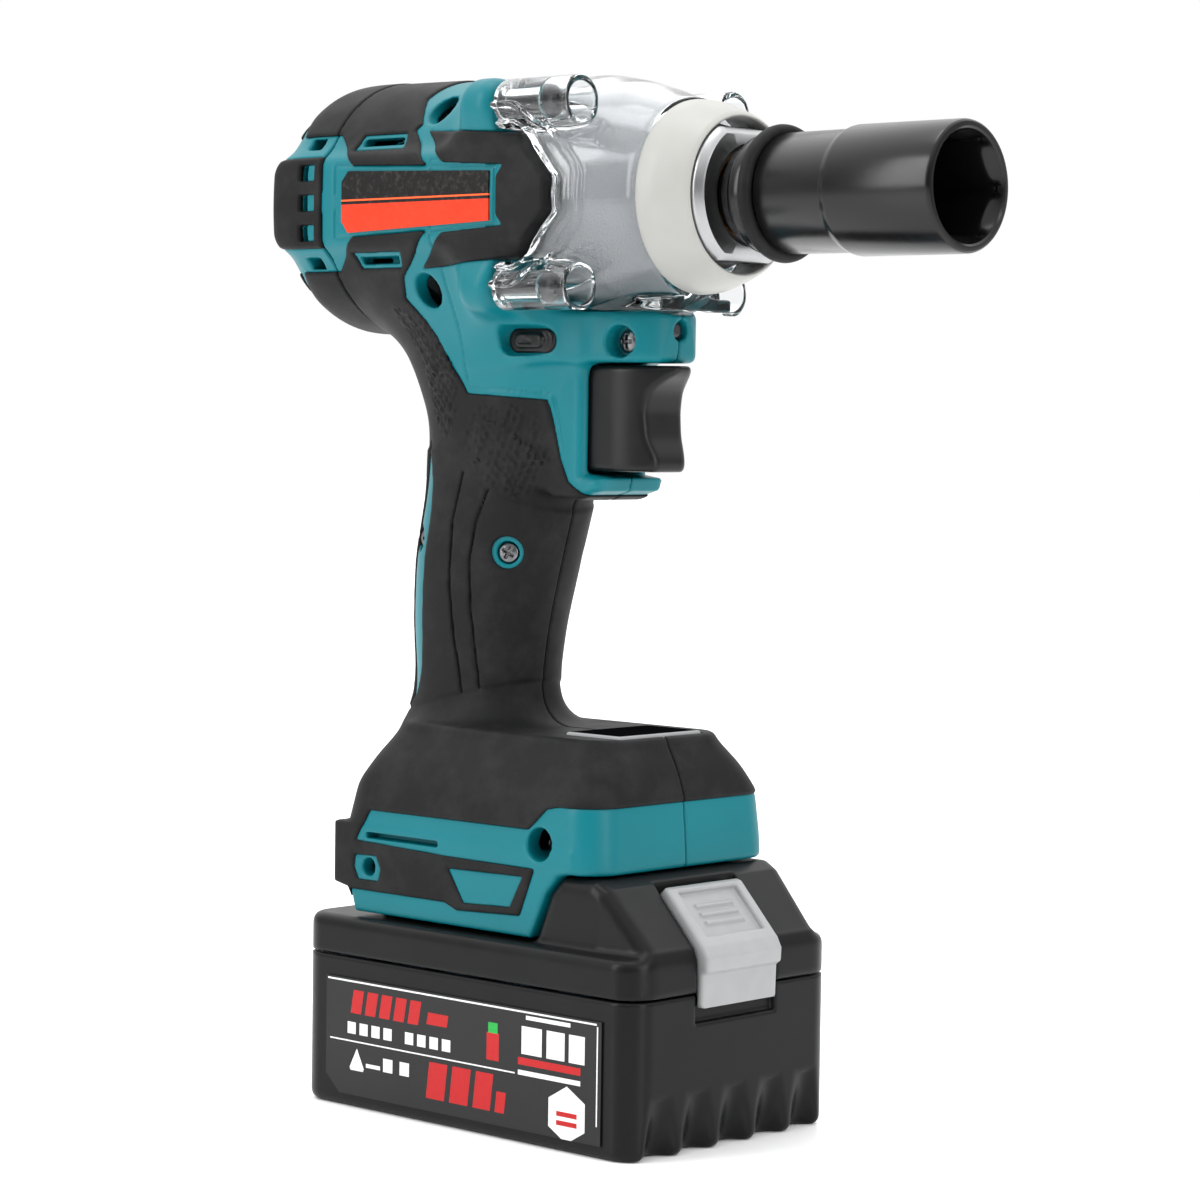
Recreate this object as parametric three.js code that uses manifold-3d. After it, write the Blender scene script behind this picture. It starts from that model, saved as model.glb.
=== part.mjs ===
// Cordless impact wrench with a 1/2 inch square drive, an impact socket and a slide-on battery.
// Millimetres, +Z up, +X towards the socket, origin at the centre of the battery's base.
import * as THREE from 'three';
import { mergeVertices } from 'three/addons/utils/BufferGeometryUtils.js';
import Module from 'manifold-3d';

const wasm = await Module();
wasm.setup();

// Driving dimensions
const AXIS_Z = 230.5; // height of the drive axis
const GAP = 0.3; // clearance between touching pieces
const WALL = 2.6; // housing wall
const SKIN = 1.8; // thickness of the soft overmould
const BARREL_R = 31.5;
const BARREL_REAR = -58;
const BARREL_FRONT = 3;
const PAD_TIP = 20.5; // front point of the side tongues
const LAND_Y = 33; // flat side land that carries the rating plate
const COVER_REAR = 3.6;
const COVER_FRONT = 41.5;
const LUG = { y: 28, z: 22.4, r: 6, rear: 4.2, front: 29 };
const CASE_REAR = -33;
const CASE_NOSE = 59;
const SOCKET = { rear: 62.9, step: 92.7, front: 123.8, r: 15.4, neck: 14.3, hex: 22, square: 12.8 };
const DRIVE = 12.7; // square drive across flats
const GEAR = { module: 0.8, sun: 9, planet: 18, ring: 45 };
const GEAR_REAR = -31;
const GEAR_FRONT = -21.5;
const BATTERY = { halfX: 58, halfY: 37.5, seam: 38.6, shoulder: 47.5, corner: 7.5 };
const CELL_R = 9.1;
const GROUP = new THREE.Group();

// Materials
function material(color, roughness, metalness = 0) {
  return new THREE.MeshStandardMaterial({ color, roughness, metalness });
}
const TEAL = material(0x0a8c9b, 0.45);
const SOFT_BLACK = material(0x2b2b2d, 0.8);
const BLACK = material(0x1d1d1f, 0.45);
const CLEAR = material(0xe8eef0, 0.1);
const MILKY = material(0xe6e6e2, 0.5);
const CAST = material(0xb9bbbd, 0.45, 0.9);
const STEEL = material(0x9a9da0, 0.3, 1);
const DARK_STEEL = material(0x151517, 0.25, 0.8);
const BRONZE = material(0xa77a3e, 0.4, 1);
const COPPER = material(0xb4632f, 0.4, 0.9);
const BOARD = material(0x1d6b3a, 0.5);
const ORANGE = material(0xe8481f, 0.5);
const GREY = material(0xb9bbbc, 0.45);
const LENS = material(0xf4f6ff, 0.1);

// A manifold solid from any closed three.js geometry
function solid(geometry) {
  geometry.deleteAttribute('normal');
  geometry.deleteAttribute('uv');
  const merged = mergeVertices(geometry, 1e-4);
  const vertProperties = new Float32Array(merged.attributes.position.array);
  const triVerts = new Uint32Array(merged.index.array);
  if (signedVolume(vertProperties, triVerts) < 0) {
    for (let i = 0; i < triVerts.length; i += 3) {
      [triVerts[i], triVerts[i + 1]] = [triVerts[i + 1], triVerts[i]];
    }
  }
  return new wasm.Manifold(new wasm.Mesh({ numProp: 3, vertProperties, triVerts }));
}

function signedVolume(points, triangles) {
  const [a, b, c] = [new THREE.Vector3(), new THREE.Vector3(), new THREE.Vector3()];
  let total = 0;
  for (let i = 0; i < triangles.length; i += 3) {
    a.fromArray(points, triangles[i] * 3);
    b.fromArray(points, triangles[i + 1] * 3);
    c.fromArray(points, triangles[i + 2] * 3);
    total += a.dot(b.cross(c)) / 6;
  }
  return total;
}

// A named mesh from a solid, keeping only its largest body so that no sliver stays behind
function piece(name, body, look) {
  const parts = body.decompose().sort((p, q) => q.volume() - p.volume());
  const mesh = parts[0].getMesh();
  const geometry = new THREE.BufferGeometry();
  geometry.setAttribute('position', new THREE.BufferAttribute(mesh.vertProperties, 3));
  geometry.setIndex(new THREE.BufferAttribute(mesh.triVerts, 1));
  geometry.computeVertexNormals();
  const item = new THREE.Mesh(geometry, look);
  item.name = name;
  GROUP.add(item);
}

function joined(bodies) {
  return bodies.reduce((sum, body) => sum.add(body));
}

// A body turned about the drive axis from [x, radius] pairs; a profile off the axis closes on itself
function turned(profile, segments = 24, y = 0, z = AXIS_Z) {
  const points = profile.map(([x, r]) => new THREE.Vector2(r, x));
  const onAxis = profile[0][1] === 0 && profile.at(-1)[1] === 0;
  if (!onAxis) points.push(points[0].clone());
  const geometry = new THREE.LatheGeometry(points, segments);
  geometry.rotateZ(-Math.PI / 2);
  geometry.translate(0, y, z);
  return solid(geometry);
}

function rod(x0, x1, r, segments = 12, y = 0, z = AXIS_Z) {
  return turned([[x0, 0], [x0, r], [x1, r], [x1, 0]], segments, y, z);
}

function ring(x0, x1, inner, outer, segments = 24, y = 0, z = AXIS_Z) {
  return turned([[x0, inner], [x0, outer], [x1, outer], [x1, inner]], segments, y, z);
}

function pinAlongY(x, z, r, y0, y1, segments = 10) {
  const geometry = new THREE.CylinderGeometry(r, r, y1 - y0, segments);
  geometry.translate(x, (y0 + y1) / 2, z);
  return solid(geometry);
}

function box(x0, x1, y0, y1, z0, z1) {
  const geometry = new THREE.BoxGeometry(x1 - x0, y1 - y0, z1 - z0);
  geometry.translate((x0 + x1) / 2, (y0 + y1) / 2, (z0 + z1) / 2);
  return solid(geometry);
}

function shapeOf(outline) {
  return new THREE.Shape(outline.map(([u, v]) => new THREE.Vector2(u, v)));
}

// A side outline of [x, z] points, extruded across the tool from y0 to y1
function sidePrism(outline, y0, y1) {
  const geometry = new THREE.ExtrudeGeometry(shapeOf(outline), { depth: y1 - y0, bevelEnabled: false });
  geometry.rotateX(Math.PI / 2);
  geometry.translate(0, y1, 0);
  return solid(geometry);
}

// A plan outline of [x, y] points, extruded upwards from z0 to z1
function planPrism(outline, z0, z1) {
  const geometry = new THREE.ExtrudeGeometry(shapeOf(outline), { depth: z1 - z0, bevelEnabled: false });
  geometry.translate(0, 0, z0);
  return solid(geometry);
}

// An outline of [y, z] points about the drive axis, extruded from x0 to x1
function axialPrism(outline, x0, x1, y = 0, z = AXIS_Z) {
  const geometry = new THREE.ExtrudeGeometry(shapeOf(outline), { depth: x1 - x0, bevelEnabled: false });
  const axes = new THREE.Matrix4().makeBasis(
    new THREE.Vector3(0, 1, 0), new THREE.Vector3(0, 0, 1), new THREE.Vector3(1, 0, 0));
  geometry.applyMatrix4(axes);
  geometry.translate(x0, y, z);
  return solid(geometry);
}

// A closed skin through level rings that all have the same number of points
function loft(rings) {
  const count = rings[0].length;
  const positions = rings.flat(2);
  const index = [];
  for (let level = 0; level < rings.length - 1; level += 1) {
    for (let i = 0; i < count; i += 1) {
      const [a, b] = [level * count + i, level * count + (i + 1) % count];
      index.push(a, b, b + count, a, b + count, a + count);
    }
  }
  const top = (rings.length - 1) * count;
  for (let i = 1; i < count - 1; i += 1) {
    index.push(0, i + 1, i, top, top + i, top + i + 1);
  }
  const geometry = new THREE.BufferGeometry();
  geometry.setAttribute('position', new THREE.Float32BufferAttribute(positions, 3));
  geometry.setIndex(index);
  return solid(geometry);
}

// A level ring: a superellipse with exponent 2 for an oval and more for a squarer form
function ovalRing(z, centre, halfX, halfY, power = 2, count = 14) {
  return Array.from({ length: count }, (_, i) => {
    const angle = (i + 0.5) / count * Math.PI * 2;
    const [c, s] = [Math.cos(angle), Math.sin(angle)];
    const round = value => Math.sign(value) * Math.abs(value) ** (2 / power);
    return [centre + halfX * round(c), halfY * round(s), z];
  });
}

function roundedBox(x0, x1, halfY, corner, z0, z1, arcSteps = 2) {
  return planPrism(roundedOutline(x0, x1, halfY, corner, arcSteps), z0, z1);
}

function roundedOutline(x0, x1, halfY, corner, arcSteps = 2) {
  const centres = [[x1 - corner, halfY - corner], [x0 + corner, halfY - corner],
    [x0 + corner, corner - halfY], [x1 - corner, corner - halfY]];
  return centres.flatMap(([x, y], quarter) => Array.from({ length: arcSteps + 1 }, (_, i) => {
    const angle = (quarter + i / arcSteps) * Math.PI / 2;
    return [x + corner * Math.cos(angle), y + corner * Math.sin(angle)];
  }));
}

function roundedRing(z, x0, x1, halfY, corner) {
  return roundedOutline(x0, x1, halfY, corner).map(([x, y]) => [x, y, z]);
}

// Housing: barrel, side lands, trigger bracket, grip and foot, all drawn in by the same amount
function barrelForm(inset) {
  const tongue = [[BARREL_REAR, 195], [BARREL_FRONT, 195], [BARREL_FRONT, 219], [12, 222],
    [PAD_TIP, 226.5], [PAD_TIP, 234.5], [12, 239], [BARREL_FRONT, 242], [BARREL_FRONT, 266], [BARREL_REAR, 266]];
  const land = LAND_Y - inset;
  const sides = axialPrism([[-25, -12 + inset], [-land, -10 + inset], [-land, 10 - inset], [-25, 12 - inset],
    [25, 12 - inset], [land, 10 - inset], [land, -10 + inset], [25, -12 + inset]], BARREL_REAR, PAD_TIP);
  const barrel = rod(BARREL_REAR, PAD_TIP, BARREL_R - inset, 26).add(sides);
  return barrel.intersect(sidePrism(tongue, -40, 30));
}

function bossForm(inset) {
  const bosses = [];
  for (const y of [-LUG.y, LUG.y]) {
    for (const z of [AXIS_Z - LUG.z, AXIS_Z + LUG.z]) {
      bosses.push(rod(-18, BARREL_FRONT, LUG.r - inset, 12, y, z));
    }
  }
  return joined(bosses);
}

function bracketForm(inset) {
  const nose = Array.from({ length: 7 }, (_, i) => {
    const angle = (i / 6 - 0.5) * Math.PI;
    return [25.5 + (12 - inset) * Math.cos(angle), (12 - inset) * Math.sin(angle)];
  });
  return planPrism([[-34, inset - 17], [-2, inset - 19], ...nose, [-2, 19 - inset], [-34, 17 - inset]],
    190 + inset, 202 - inset / 2);
}

function triggerGuardForm(inset) {
  const sill = Math.min(158.6 + inset, 161.5);
  const outline = [[-4, 192], [13, 192], [13, 162.6], [20.5 - inset, 162.3], [19 - inset, sill],
    [10, sill - 2], [-4, sill - 1.6]];
  return sidePrism(outline, inset - 12.5, 12.5 - inset);
}

function gripForm(inset) {
  const sections = [[92, -25, 23, 21], [97, -27, 22, 18], [107, -28.8, 19.2, 15], [123, -28.4, 21, 15.8],
    [140, -25.6, 22.6, 17], [158, -20.8, 22.8, 17.4], [175, -17.5, 24, 17.6], [190, -17, 30, 18.5],
    [206, -22, 24, 21]];
  return loft(sections.map(([z, centre, halfX, halfY]) =>
    ovalRing(z, centre, halfX - inset, halfY - inset, 2.2)));
}

function footForm(inset) {
  return loft([
    roundedRing(65.5 + inset, -50 + inset, 42 - inset, 33.6 - inset, 9),
    roundedRing(83 - inset * 0.2, -49 + inset, 41 - inset, 33 - inset, 9),
    roundedRing(97.5 - inset, -40 + inset, 33 - inset, 25 - inset, 7),
  ]).add(loft([
    roundedRing(49.6, -48 + inset, 20.5, 33 - inset, 5),
    roundedRing(58, -50 + inset, 24.5, 33.6 - inset, 5),
    roundedRing(65.6, -50 + inset, 28.5, 33.6 - inset, 5),
  ]));
}

function housingForm(inset) {
  return joined([barrelForm(inset), bracketForm(inset), triggerGuardForm(inset), gripForm(inset), footForm(inset)]);
}

// Side outline of the soft overmould: under the barrel, down the grip and over the foot
function overmouldZone(grow) {
  const outline = [[BARREL_REAR - 2, 214 + grow], [-40, 214 + grow], [-31 + grow, 206 + grow],
    [-14.8 + grow, 182.5 + grow], [4 + grow, 180.5 + grow], [8 + grow, 158], [14 + grow, 151 + grow],
    [14 + grow, 108], [50, 108], [50, 83.5 - grow], [24 + grow, 83.5 - grow], [19 + grow, 77 - grow],
    [-37, 77 - grow], [-54, 77 - grow], [-62, 140], [-62, 200]];
  return sidePrism(outline, -40, 30);
}

function batteryChannel() {
  return joined([
    box(-60, 60, -24.6, 24.6, 53.4, 62.6).intersect(box(-45, 60, -30, 30, 0, 100)),
    box(-45, 60, -22, 22, 40, 60),
  ]);
}

function housingCutouts() {
  const cuts = [
    rod(BARREL_REAR - 1, PAD_TIP + 1, 28.4, 22),
    box(3.5, 14, -9.8, 9.8, 162.8, 189.7),
    box(-6, 10.4, -30, 30, 192.2, 198.8),
    box(30.6, 39, -2.6, 2.6, 195.5, 200.7),
    box(7.7, 34.3, -20.3, 20.3, 95.7, 99),
    batteryChannel(),
    turned([[3, 0], [3, 26.2], [40, 26.2], [40, 0]], 22).intersect(box(-10, 40, -40, 40, 190, 204)),
  ];
  for (const y of [-LUG.y, LUG.y]) {
    for (const z of [AXIS_Z - LUG.z, AXIS_Z + LUG.z]) {
      cuts.push(rod(-12, BARREL_FRONT + 1, 2.3, 8, y, z));
    }
  }
  return joined(cuts);
}

// Case screws of the clamshell: name, x, z, head seat depth y, tip y
const HOUSING_SCREWS = [
  ['head_screw_top', -23.2, 255.4, -15.5, 14],
  ['head_screw_bottom', -22.7, 205.6, -15.5, 14],
  ['bracket_screw', 27, 195.3, -8.5, 9],
  ['grip_screw', -8.5, 142.6, -11, 11],
  ['spine_screw', -41.5, 144.6, -9, 9],
  ['foot_screw_front', 24, 73, -27, 27],
  ['foot_screw_rear', -36.9, 66.6, -28, -6],
];
const SCREW_R = 1.4;
const SCREW_HEAD_R = 2.8;
const REAR_SCREW_Y = 26;
const REAR_SEAT = -77.6;

function screwTunnels() {
  const tunnels = HOUSING_SCREWS.map(([, x, z, seat, tip]) =>
    pinAlongY(x, z, SCREW_R + GAP, seat - 3, tip + 1, 8).add(pinAlongY(x, z, SCREW_HEAD_R + GAP, -40, seat)));
  return joined(tunnels);
}

// Lips under the foot that the battery's slide rail hooks over
function railLips() {
  return joined([-1, 1].map(side => box(-44, 19, side * 26 - 4, side * 26 + 4, 49.8, 53.3)));
}

function screwPillars() {
  return joined(HOUSING_SCREWS.map(([, x, z, seat, tip]) => pinAlongY(x, z, 4.4, seat - 2, tip + 2, 8)));
}

function rearScrewPillars() {
  return joined([-REAR_SCREW_Y, REAR_SCREW_Y].map(y => rod(BARREL_REAR, -48, 2.8, 10, y)));
}

function rearScrewHoles() {
  return joined([-REAR_SCREW_Y, REAR_SCREW_Y].map(y =>
    rod(-92, -50, SCREW_R + GAP, 8, y).add(rod(-92, REAR_SEAT, SCREW_HEAD_R + GAP, 10, y))));
}

function buildHousing() {
  const outer = housingForm(0);
  const hollow = housingForm(WALL + SKIN).add(box(-10, 3.6, -9.8, 9.8, 162.8, 189.7));
  const base = housingForm(SKIN + GAP).add(outer.subtract(overmouldZone(GAP))).add(bossForm(0));
  const pillars = joined([screwPillars(), rearScrewPillars()]).intersect(housingForm(SKIN + GAP));
  const shell = base.subtract(hollow).add(pillars).add(railLips())
    .subtract(screwTunnels()).subtract(housingCutouts()).subtract(rearScrewHoles());
  const skin = outer.intersect(overmouldZone(0)).subtract(housingForm(SKIN))
    .subtract(bossForm(-GAP)).subtract(screwTunnels()).subtract(housingCutouts());
  const halves = [['right', -60, -GAP / 2], ['left', GAP / 2, 60]];
  for (const [side, y0, y1] of halves) {
    const half = box(-120, 140, y0, y1, 0, 300);
    piece(`housing_${side}`, shell.intersect(half), TEAL);
    piece(`grip_rubber_${side}`, skin.intersect(half), SOFT_BLACK);
  }
}

function screwAlongY(name, x, z, seat, tip) {
  const head = pinAlongY(x, z, SCREW_HEAD_R, seat - 2, seat - GAP / 2, 12);
  const slotA = box(x - 1.6, x + 1.6, seat - 3, seat - 1.2, z - 0.35, z + 0.35);
  const slotB = box(x - 0.35, x + 0.35, seat - 3, seat - 1.2, z - 1.6, z + 1.6);
  piece(name, head.add(pinAlongY(x, z, SCREW_R, seat - 1, tip, 8)).subtract(slotA).subtract(slotB), STEEL);
}

function buildHousingScrews() {
  for (const [name, x, z, seat, tip] of HOUSING_SCREWS) screwAlongY(name, x, z, seat, tip);
}

// Rear cover with the rear bearing seat, air windows and its rubber bumper
function buildRearCover() {
  const end = BARREL_REAR - GAP;
  const outer = turned([[-90.6, 0], [-90.6, 10], [-88, 16.5], [-83, 23], [-77.5, 28], [-72, 31.5],
    [end, 31.5], [end, 0]], 26);
  const inner = turned([[-88, 0], [-88, 9], [-85.6, 14.6], [-80.8, 20.8], [-75.6, 25.4], [-71, 28.4],
    [end + 1, 28.4], [end + 1, 0]], 22);
  const seat = ring(-88.5, -83.8, 5.8, 8, 12);
  const windows = [];
  for (const z of [AXIS_Z - 15, AXIS_Z + 15]) windows.push(box(-80, -64, -40, 40, z - 1.6, z + 1.6));
  for (const z of [AXIS_Z - 6.6, AXIS_Z, AXIS_Z + 6.6]) windows.push(box(-79, -76, -40, 40, z - 1.4, z + 1.4));
  const shell = outer.subtract(inner).add(seat).subtract(joined(windows)).subtract(rearScrewHoles());
  piece('rear_cover', shell, TEAL);
  const sleeve = turned([[-82.5, 23.5 + GAP * 2], [-77.5, 28 + GAP * 2], [-72, 31.5 + GAP], [-61, 31.5 + GAP],
    [-61, 33.2], [-73.5, 33.2], [-79, 30], [-83.6, 25.4]], 26);
  const openings = joined(windows).add(box(-80, -60, -20, 20, 255, 275)).add(box(-80, -60, -20, 20, 185, 205));
  piece('rear_bumper', sleeve.subtract(openings).subtract(rearScrewHoles()), SOFT_BLACK);
  [-REAR_SCREW_Y, REAR_SCREW_Y].forEach((y, i) => {
    const head = rod(REAR_SEAT - 1.8, REAR_SEAT - GAP / 2, SCREW_HEAD_R, 10, y);
    piece(`rear_screw_${i + 1}`, head.add(rod(REAR_SEAT - 1, -51, SCREW_R, 8, y)), STEEL);
  });
}

// Rating plates on the two flat lands
function buildRatingPlates() {
  const outline = [[-47, 221.8], [3.4, 221.8], [3.4, 238.2], [-47, 238.2], [-50, 235.5], [-50, 224.5]];
  piece('rating_plate_right', sidePrism(outline, -LAND_Y - 0.9, -LAND_Y - GAP), ORANGE);
  piece('rating_plate_left', sidePrism(outline, LAND_Y + GAP, LAND_Y + 0.9), ORANGE);
}

// Hammer case: sleeve over the ring gear, hammer chamber and nose
function buildHammerCase() {
  piece('hammer_case', turned([[CASE_REAR, 21.1], [CASE_REAR, 22.6], [-15, 22.6], [-13, 27], [21, 27], [36, 22.4],
    [50, 17.4], [52, 15.7], [CASE_NOSE, 15.7], [CASE_NOSE, 10.4], [57, 10.4], [57, 14.6], [34, 14.6], [30, 24.3],
    [-10, 24.3], [-12, 21.1]], 22), CAST);
  piece('anvil_bush', ring(35, 56, 9.9, 14.1, 16), BRONZE);
}

// Clear nose cover with four screw lugs, and the milky bumper in front of it
function buildNoseCover() {
  const outer = turned([[COVER_REAR, 0], [COVER_REAR, 31], [15, 31], [29, 28.6], [COVER_FRONT, 23.8],
    [COVER_FRONT, 0]], 26);
  const inner = turned([[COVER_REAR - 1, 0], [COVER_REAR - 1, 29.1], [15, 29.1], [29, 26.7],
    [COVER_FRONT + 1, 22.2], [COVER_FRONT + 1, 0]], 26);
  const lugs = [];
  const holes = [];
  for (const y of [-LUG.y, LUG.y]) {
    for (const z of [AXIS_Z - LUG.z, AXIS_Z + LUG.z]) {
      lugs.push(rod(LUG.rear, LUG.front, LUG.r, 14, y, z));
      holes.push(rod(0, 22.3, 2.3, 8, y, z));
      holes.push(rod(22.3, 30, 4.4, 10, y, z));
    }
  }
  const notch = sidePrism([[-5, 217], [3.4, 218.4], [12.4, 221.2], [21.2, 225.8], [21.2, 235.2], [12.4, 239.8],
    [3.4, 242.6], [-5, 244]], -45, 45);
  const bracketRoom = box(-10, 40, -20, 20, 180, 202.4);
  const shell = outer.add(joined(lugs)).subtract(inner).subtract(joined(holes)).subtract(notch)
    .subtract(bracketRoom);
  piece('nose_cover', shell, CLEAR);
  piece('nose_bumper', turned([[COVER_FRONT + GAP, 21.2], [COVER_FRONT + GAP, 23.8], [47, 23], [52, 20.5],
    [54.5, 17.6], [54.5, 16.1], [51, 17.6]], 26), MILKY);
}

function buildCaseScrews() {
  let number = 1;
  for (const y of [-LUG.y, LUG.y]) {
    for (const z of [AXIS_Z - LUG.z, AXIS_Z + LUG.z]) {
      const body = rod(-10, 23, 1.8, 8, y, z).add(rod(22.6, 26, 3.9, 12, y, z)).subtract(rod(24, 27, 1.9, 6, y, z));
      piece(`case_screw_${number}`, body, DARK_STEEL);
      number += 1;
    }
  }
}

// Gear outline with plain tapered teeth: radii of tip and root, half angles in parts of one pitch
function gearOutline(teeth, tip, root, tipShare, rootShare, turn = 0) {
  const pitch = Math.PI * 2 / teeth;
  return Array.from({ length: teeth }, (_, i) => i * pitch + turn).flatMap(angle => [
    [root, angle - rootShare * pitch], [tip, angle - tipShare * pitch],
    [tip, angle + tipShare * pitch], [root, angle + rootShare * pitch],
  ]).map(([r, angle]) => [r * Math.cos(angle), r * Math.sin(angle)]);
}

const SUN_R = GEAR.module * GEAR.sun / 2;
const PLANET_R = GEAR.module * GEAR.planet / 2;
const RING_R = GEAR.module * GEAR.ring / 2;
const CARRIER_R = SUN_R + PLANET_R;
const PLANET_PIN_R = 2;

function planetCentre(i) {
  const angle = i * Math.PI * 2 / 3;
  return [CARRIER_R * Math.cos(angle), CARRIER_R * Math.sin(angle), angle];
}

function buildGearTrain() {
  const gap = gearOutline(GEAR.ring, RING_R + 1, RING_R - 0.7, 0.3, 0.4, Math.PI / GEAR.ring);
  const bore = axialPrism(gap, GEAR_REAR - 1, GEAR_FRONT + 1);
  piece('ring_gear', rod(GEAR_REAR, GEAR_FRONT, 20.7, 22).subtract(bore), STEEL);
  for (let i = 0; i < 3; i += 1) {
    const [y, z, angle] = planetCentre(i);
    const outline = gearOutline(GEAR.planet, PLANET_R + 0.6, PLANET_R - 1.1, 0.1, 0.2, angle + Math.PI / GEAR.planet);
    const wheel = axialPrism(outline, GEAR_REAR + 0.4, GEAR_FRONT - 0.3, y, AXIS_Z + z);
    piece(`planet_gear_${i + 1}`, wheel.subtract(rod(-40, 0, PLANET_PIN_R + 0.15, 16, y, AXIS_Z + z)), STEEL);
  }
  const pins = [0, 1, 2].map(planetCentre).map(([y, z]) =>
    rod(GEAR_REAR + 0.2, GEAR_FRONT + 2, PLANET_PIN_R, 16, y, AXIS_Z + z));
  const shaft = turned([[-21, 0], [-21, 16.5], [-16.5, 16.5], [-16.5, 8], [20, 8], [20, 4.6], [33, 4.6], [33, 0]], 20);
  piece('cam_shaft', joined([shaft, ...pins]), STEEL);
}

// Brushless motor, its bearings, fan, sensor board and the bracket in front of it
function buildMotor() {
  const teeth = Array.from({ length: 6 }, (_, i) => {
    const tooth = new THREE.BoxGeometry(28, 5, 8);
    tooth.translate(-60, 0, 18);
    tooth.rotateX(i * Math.PI / 3);
    tooth.translate(0, 0, AXIS_Z);
    return solid(tooth);
  });
  const bore = rod(-80, -40, 14.2, 20);
  piece('stator', ring(-74, -46, 19.5, 23, 26).add(joined(teeth)).subtract(bore), STEEL);
  piece('winding_rear', ring(-78.5, -74.3, 15, 21.5, 14), COPPER);
  piece('winding_front', ring(-45.7, -42, 15, 21.5, 14), COPPER);
  piece('hall_board', ring(-41.5, -40.2, 10.5, 22, 14), BOARD);
  piece('rotor_core', ring(-73, -47, 2.7, 13.6, 14), DARK_STEEL);
  const pinion = axialPrism(gearOutline(GEAR.sun, SUN_R + 0.6, SUN_R - 1.1, 0.1, 0.2), GEAR_REAR, GEAR_FRONT);
  piece('rotor_shaft', rod(-88, GEAR_REAR + 1, 2.4, 10).add(pinion), STEEL);
  const blades = Array.from({ length: 5 }, (_, i) => {
    const blade = new THREE.BoxGeometry(4.5, 1.2, 12.5);
    blade.translate(-81, 0, 10.6);
    blade.rotateX(i * Math.PI * 2 / 5);
    blade.translate(0, 0, AXIS_Z);
    return solid(blade);
  });
  piece('fan', joined([ring(-80, -79, 2.7, 20, 14), ring(-83, -79.5, 2.7, 6, 10), ...blades]), BLACK);
  piece('rear_bearing', ring(-88, -84.3, 2.8, 5.4, 12), STEEL);
  piece('front_bearing', ring(-38, -34, 2.8, 9.4, 14), STEEL);
  piece('motor_bracket', ring(-38.5, -33.4, 9.9, 27.9, 18), CAST);
}

// Hammer, its spring, the anvil, the socket and the socket's retaining ring
function buildHammer() {
  const block = turned([[-2, 8.25], [-2, 10.2], [9, 10.2], [9, 17], [-2, 17], [-2, 22.6], [19, 22.6], [19, 8.25]], 22);
  const lugs = [-1, 1].map(side => box(18, 26.5, -6, 6, Math.min(side * 11, side * 21), Math.max(side * 11, side * 21)));
  const dogs = joined(lugs).translate(0, 0, AXIS_Z);
  piece('hammer', block.add(dogs), DARK_STEEL);
  piece('hammer_spring', springForm(new THREE.Vector3(-16, 0, AXIS_Z), 13.2, 1.2, 24.4, 4, 'x'), STEEL);
}

function springForm(start, radius, wire, length, turns, axis) {
  class Helix extends THREE.Curve {
    getPoint(t, target = new THREE.Vector3()) {
      const angle = t * turns * Math.PI * 2;
      const [c, s] = [radius * Math.cos(angle), radius * Math.sin(angle)];
      const along = wire + t * (length - 2 * wire);
      if (axis === 'x') return target.set(start.x + along, start.y + c, start.z + s);
      return target.set(start.x + c, start.y + s, start.z + along);
    }
  }
  const section = new THREE.Shape(Array.from({ length: 4 }, (_, i) =>
    new THREE.Vector2(wire * Math.cos(i * Math.PI / 2), wire * Math.sin(i * Math.PI / 2))));
  return solid(new THREE.ExtrudeGeometry(section, { steps: turns * 7, extrudePath: new Helix() }));
}

function buildAnvil() {
  const half = DRIVE / 2;
  const wings = box(20.4, 27.4, -20.5, 20.5, AXIS_Z - 6, AXIS_Z + 6).intersect(rod(20, 28, 20.5, 22));
  const shaft = turned([[20.4, 0], [20.4, 9.5], [59.4, 9.5], [59.4, 12], [61, 12], [62.4, 10], [62.4, 0]], 20);
  const square = box(62, 80, -half, half, AXIS_Z - half, AXIS_Z + half);
  const pilot = rod(20, 34, 4.8, 20);
  piece('anvil', joined([wings, shaft, square]).subtract(pilot), DARK_STEEL);
}

function buildSocket() {
  const half = SOCKET.square / 2 + GAP;
  const hexR = SOCKET.hex / Math.sqrt(3);
  const hexagon = Array.from({ length: 6 }, (_, i) => {
    const angle = (i + 0.5) * Math.PI / 3;
    return [hexR * Math.cos(angle), hexR * Math.sin(angle)];
  });
  const body = turned([[SOCKET.rear, 0], [SOCKET.rear, 13.6], [65, SOCKET.neck], [67.2, SOCKET.neck],
    [67.2, 13.2], [70.8, 13.2], [70.8, SOCKET.neck], [SOCKET.step - 1, SOCKET.neck], [SOCKET.step, SOCKET.r],
    [SOCKET.front - 0.8, SOCKET.r], [SOCKET.front, SOCKET.r - 0.8], [SOCKET.front, 0]], 30);
  const mouth = axialPrism(hexagon, 98, SOCKET.front + 1);
  const drive = box(SOCKET.rear - 1, 84, -half, half, AXIS_Z - half, AXIS_Z + half);
  const through = rod(80, 100, 6, 16);
  piece('socket', body.subtract(mouth).subtract(drive).subtract(through), DARK_STEEL);
  piece('socket_ring', ring(67.4, 70.6, 14.6, 16.5, 22).add(ring(67.6, 70.4, 13.4, 15, 22)), SOFT_BLACK);
}

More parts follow.
